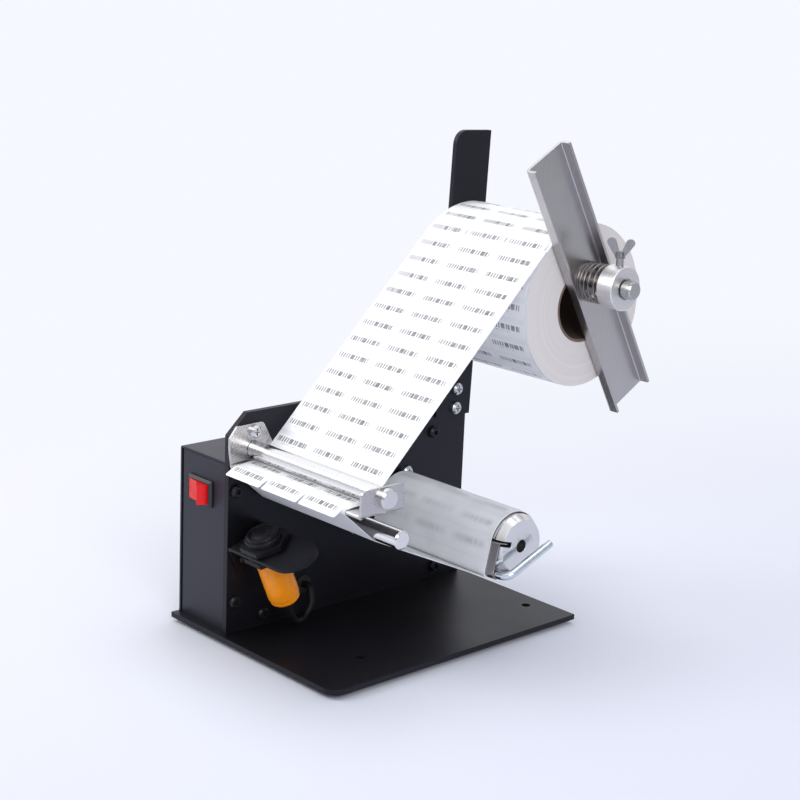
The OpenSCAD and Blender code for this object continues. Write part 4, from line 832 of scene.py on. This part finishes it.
class DISPENSER_OT_spring(bpy.types.Operator):
    """Wind the guide spring: a helix whose pitch grows from the first turn to the last"""

    bl_idname = "dispenser.spring"
    bl_label = "Guide spring"

    def execute(self, context):
        """The place along the shaft is the run times the mean of t and t squared."""
        wire, turns, rings = 0.0012, 5, 48
        lo, hi = span("guide_spring")
        centre = axle("supply_shaft")[0]
        radius = (hi[1] - lo[1]) / 2 - wire / 2
        t = np.linspace(0, 1, turns * rings + 1)
        along = lo[0] + wire / 2 + (hi[0] - lo[0] - wire) * (0.50 * t + 0.50 * t * t)
        path = np.column_stack([along, centre + radius * polar(2 * math.pi * turns * t)])
        points, faces = tube(path, wire / 2, 12, (1.0, 0.0, 0.0))
        steel = material("spring_wire", plated_finish, (0.26, 0.235, 0.22), 0.17)
        make("wound_spring", points, faces, "guide_hub", steel, ("guide_spring",))
        return {"FINISHED"}


class DISPENSER_OT_labels(bpy.types.Operator):
    """Lay the labels on the sloping web, before the nose, past the nose and round the roll"""

    bl_idname = "dispenser.labels"
    bl_label = "Labels"

    def execute(self, context):
        p = paper()
        start, slope, run = web_line()
        first = p.first_row + p.label_l / 2
        count = int((run - p.first_row) / p.row_pitch) + 1
        radius = NOSE_R + NOSE_GAP + PAPER
        arc = radius + LABEL_LIFT
        middle = -arc * p.droop - p.past_nose + p.label_l / 2
        behind = ROLLER_C[0] - NOSE_C[0]
        low = ROLLER_R + GAP
        rise = ROLLER_C[1] - low - NOSE_C[1] - radius

        def sloping(s):
            """A straight line from the press roller up to the roll, then the web's arc on the roll."""
            top = ROLL_R + GAP + PAPER
            normal = polar(slope + math.pi / 2 - np.clip(s - run, 0, None) / top)
            straight = start + s[..., None] * polar(slope)
            return np.where((s < run)[..., None], straight, ROLL_C + top * normal), normal

        def over_nose(s):
            """Level behind the nose, then an arc of the droop's angle, then straight down its slope."""
            angle = math.pi / 2 + np.clip(-s / arc, 0, p.droop)
            past = np.clip(-s - arc * p.droop, 0, None)
            normal = polar(angle)
            ahead = np.stack([-np.sin(angle), np.cos(angle)], -1)
            point = NOSE_C + arc * normal + past[..., None] * ahead
            point[..., 0] += np.clip(s, 0, None)
            return point, normal

        def before_roller(s):
            """A straight line from the nose to below the roller's axis, then the roller's own arc."""
            way = polar(np.clip((s - behind) / low, 0, None) - math.pi / 2)
            share = np.clip(s / behind, 0, 1)
            straight = np.stack([NOSE_C[0] + s, NOSE_C[1] + radius + share * rise], -1)
            flat = (s < behind)[..., None]
            return np.where(flat, straight, ROLLER_C + low * way), np.where(flat, np.array([0.0, 1.0]), -way)

        def round_roll(s):
            """Round the roll, by the distance past the point where the web meets it."""
            normal = polar(slope + math.pi / 2 - s / ROLL_R)
            return ROLL_C + ROLL_R * normal, normal

        turn = int(2 * math.pi * ROLL_R / p.row_pitch)
        roll_rows = first + count * p.row_pitch - run + np.arange(turn) * 2 * math.pi * ROLL_R / turn
        web_rows = first + np.arange(count) * p.row_pitch
        label_pieces("sloping_labels", sloping, web_rows, "frame", ("web_labels",))
        label_pieces("front_row", over_nose, [middle], "frame", ("front_labels",))
        label_pieces("nose_row", before_roller, [middle + p.row_pitch], "frame")
        label_pieces("roll_labels", round_roll, roll_rows, "roll")
        return {"FINISHED"}


class DISPENSER_OT_rolls(bpy.types.Operator):
    """Finish the roll, its core, the web and the liner"""

    bl_idname = "dispenser.rolls"
    bl_label = "Roll and liner"

    def execute(self, context):
        liner = tuple(paper().liner)
        dress(material("wound_paper", roll_finish), "label_roll")
        dress(material("card", moulded_finish, (0.16, 0.115, 0.09), 0.7, 0.6, 900.0), "roll_core")
        dress(material("web_liner", liner_finish, liner), "label_web")
        dress(material("empty_liner", liner_finish, times(liner, 0.87)), "liner_return")
        # The wound liner has the liner colour at 1.06: a painted light that brightens it against the shade
        # of the web above. The ghost prints on it are its own.
        self.winding(material("wound_liner_sheet", liner_finish, times(liner, 1.06), 9.0))
        return {"FINISHED"}

    def winding(self, sheet):
        """The liner wound over the drum and the clip's leaf.

        Its outline is a large arc round the drum and a small arc round the clip's wire with
        straight sides, and a second outline lies a thickness inside it.
        """
        d = CLIP_C - DRUM_C
        far, way = np.hypot(*d), math.atan2(d[1], d[0])
        outer = DRUM_R + LEAF_GAP + LEAF + LEAF_GAP + WINDING
        curl = CLIP_R + GAP + LEAF + LEAF_GAP + WINDING
        rings = []
        for less in (0.0, WINDING):
            r0, r1 = outer - less, curl - less
            b = math.acos((r0 - r1) / far)
            round_drum = DRUM_C + r0 * polar(np.linspace(way + b, way - b + 2 * math.pi, 120))
            round_clip = CLIP_C + r1 * polar(np.linspace(way - b, way + b, 40))
            rings.append(np.concatenate([round_drum, round_clip]))
        count = len(rings[0])
        loops = [(ROLL_X0, rings[0]), (ROLL_X1, rings[0]), (ROLL_X1, rings[1]), (ROLL_X0, rings[1])]
        points = np.concatenate([np.column_stack([np.full(count, x), ring]) for x, ring in loops])
        faces = grid_faces(len(loops), count, wrap_n=True, wrap_m=True)[:, ::-1]
        make("liner_winding", points, faces, "drum", sheet, ("wound_liner",))


class DISPENSER_OT_sensor(bpy.types.Operator):
    """Thread the sensor's barrel and colour its rear, nuts and grommet"""

    bl_idname = "dispenser.sensor"
    bl_label = "Photo sensor"

    def execute(self, context):
        f = finish()
        black = material("black_moulding", moulded_finish, tuple(f.black), 0.40, 0.25, gloss=0.2)
        orange = material("orange_moulding", moulded_finish, tuple(f.orange), 0.26, 0.2, gloss=0.45)
        rubber = material("rubber", moulded_finish, (0.012, 0.012, 0.012), 0.6, 0.5)
        self.barrel(black)
        dress(black, "sensor_nuts", "power_inlet")
        dress(orange, "sensor_rear")
        dress(rubber, "cable_grommet", "rubber_feet")
        return {"FINISHED"}

    def barrel(self, finished):
        """A profile turned about the sensor's axis.

        Its radius falls by the thread's depth at every second step along the thread, and the
        top has a rim round a recess with a lens.
        """
        low, high, r = -0.0067, 0.0087, 0.009
        step, depth = 0.0005, 0.0005
        z = np.arange(low + 0.001, high - 0.0007, step)
        ridge = np.where(np.arange(len(z)) % 2 == 0, r - depth, r)
        foot = [[r - 0.0008, low], [r - 0.0002, low + 0.0004]]
        rim = [[r - 0.0002, high - 0.0006], [r - 0.0007, high], [r - 0.0018, high],
               [r - 0.002, high - 0.0003]]
        recess = [[r - 0.002, high - 0.001], [r - 0.0034, high - 0.001]]
        lens = [[r - 0.0042, high - 0.0006], [0.0012, high - 0.0004]]
        profile = np.concatenate([foot, np.stack([ridge, z], -1), rim, recess, lens])
        c, s = math.cos(SENSOR_TILT), math.sin(SENSOR_TILT)
        turn = np.array([[1, 0, 0], [0, c, -s], [0, s, c]])
        points, faces = lathe(profile, lambda q: q @ turn.T + bench(*SENSOR_MM))
        make("threaded_barrel", points, faces, "frame", finished, ("sensor_barrel",),
             sharp=50.0)


class DISPENSER_OT_controls(bpy.types.Operator):
    """Colour the rocker, its frame and the board"""

    bl_idname = "dispenser.controls"
    bl_label = "Switch and board"

    def execute(self, context):
        f = finish()
        red = material("red_moulding", moulded_finish, tuple(f.red), 0.24, 0.1, gloss=0.35)
        rim = material("switch_moulding", moulded_finish, times(f.black, 1.6), 0.30, 0.2, gloss=0.6)
        dress(red, "switch_rocker")
        dress(rim, "switch_frame")
        dress(material("board_resist", moulded_finish, (0.03, 0.13, 0.06), 0.35, 0.2), "control_board")
        return {"FINISHED"}


class DISPENSER_PT_panel(bpy.types.Panel):
    """Lists the dispenser's pieces and settings"""

    bl_label = "Label dispenser"
    bl_idname = "DISPENSER_PT_panel"
    bl_space_type = "VIEW_3D"
    bl_region_type = "UI"
    bl_category = "Dispenser"

    def draw(self, context):
        for group in (paper(), finish(), stage()):
            box = self.layout.box()
            for key in group.__annotations__:
                box.prop(group, key)
        for operator in STEPS:
            self.layout.operator(operator.bl_idname)


GROUPS = (DispenserPaper, DispenserFinish, DispenserStage)
STEPS = (
    DISPENSER_OT_stage, DISPENSER_OT_cable, DISPENSER_OT_coats, DISPENSER_OT_sheets, DISPENSER_OT_bars,
    DISPENSER_OT_fasteners, DISPENSER_OT_spring, DISPENSER_OT_labels, DISPENSER_OT_rolls,
    DISPENSER_OT_sensor, DISPENSER_OT_controls,
)


def register():
    """Adds the classes and the three groups of settings."""
    for made in GROUPS + STEPS + (DISPENSER_PT_panel,):
        bpy.utils.register_class(made)
    bpy.types.Scene.dispenser_paper = PointerProperty(type=DispenserPaper)
    bpy.types.Scene.dispenser_finish = PointerProperty(type=DispenserFinish)
    bpy.types.Scene.dispenser_stage = PointerProperty(type=DispenserStage)


def unregister():
    """Takes away what register adds."""
    for name in ("dispenser_paper", "dispenser_finish", "dispenser_stage"):
        delattr(bpy.types.Scene, name)
    for made in reversed(GROUPS + STEPS + (DISPENSER_PT_panel,)):
        bpy.utils.unregister_class(made)


def main():
    """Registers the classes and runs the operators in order."""
    register()
    for operator in STEPS:
        getattr(bpy.ops.dispenser, operator.bl_idname.split(".")[1])()


if __name__ == "__main__":
    main()
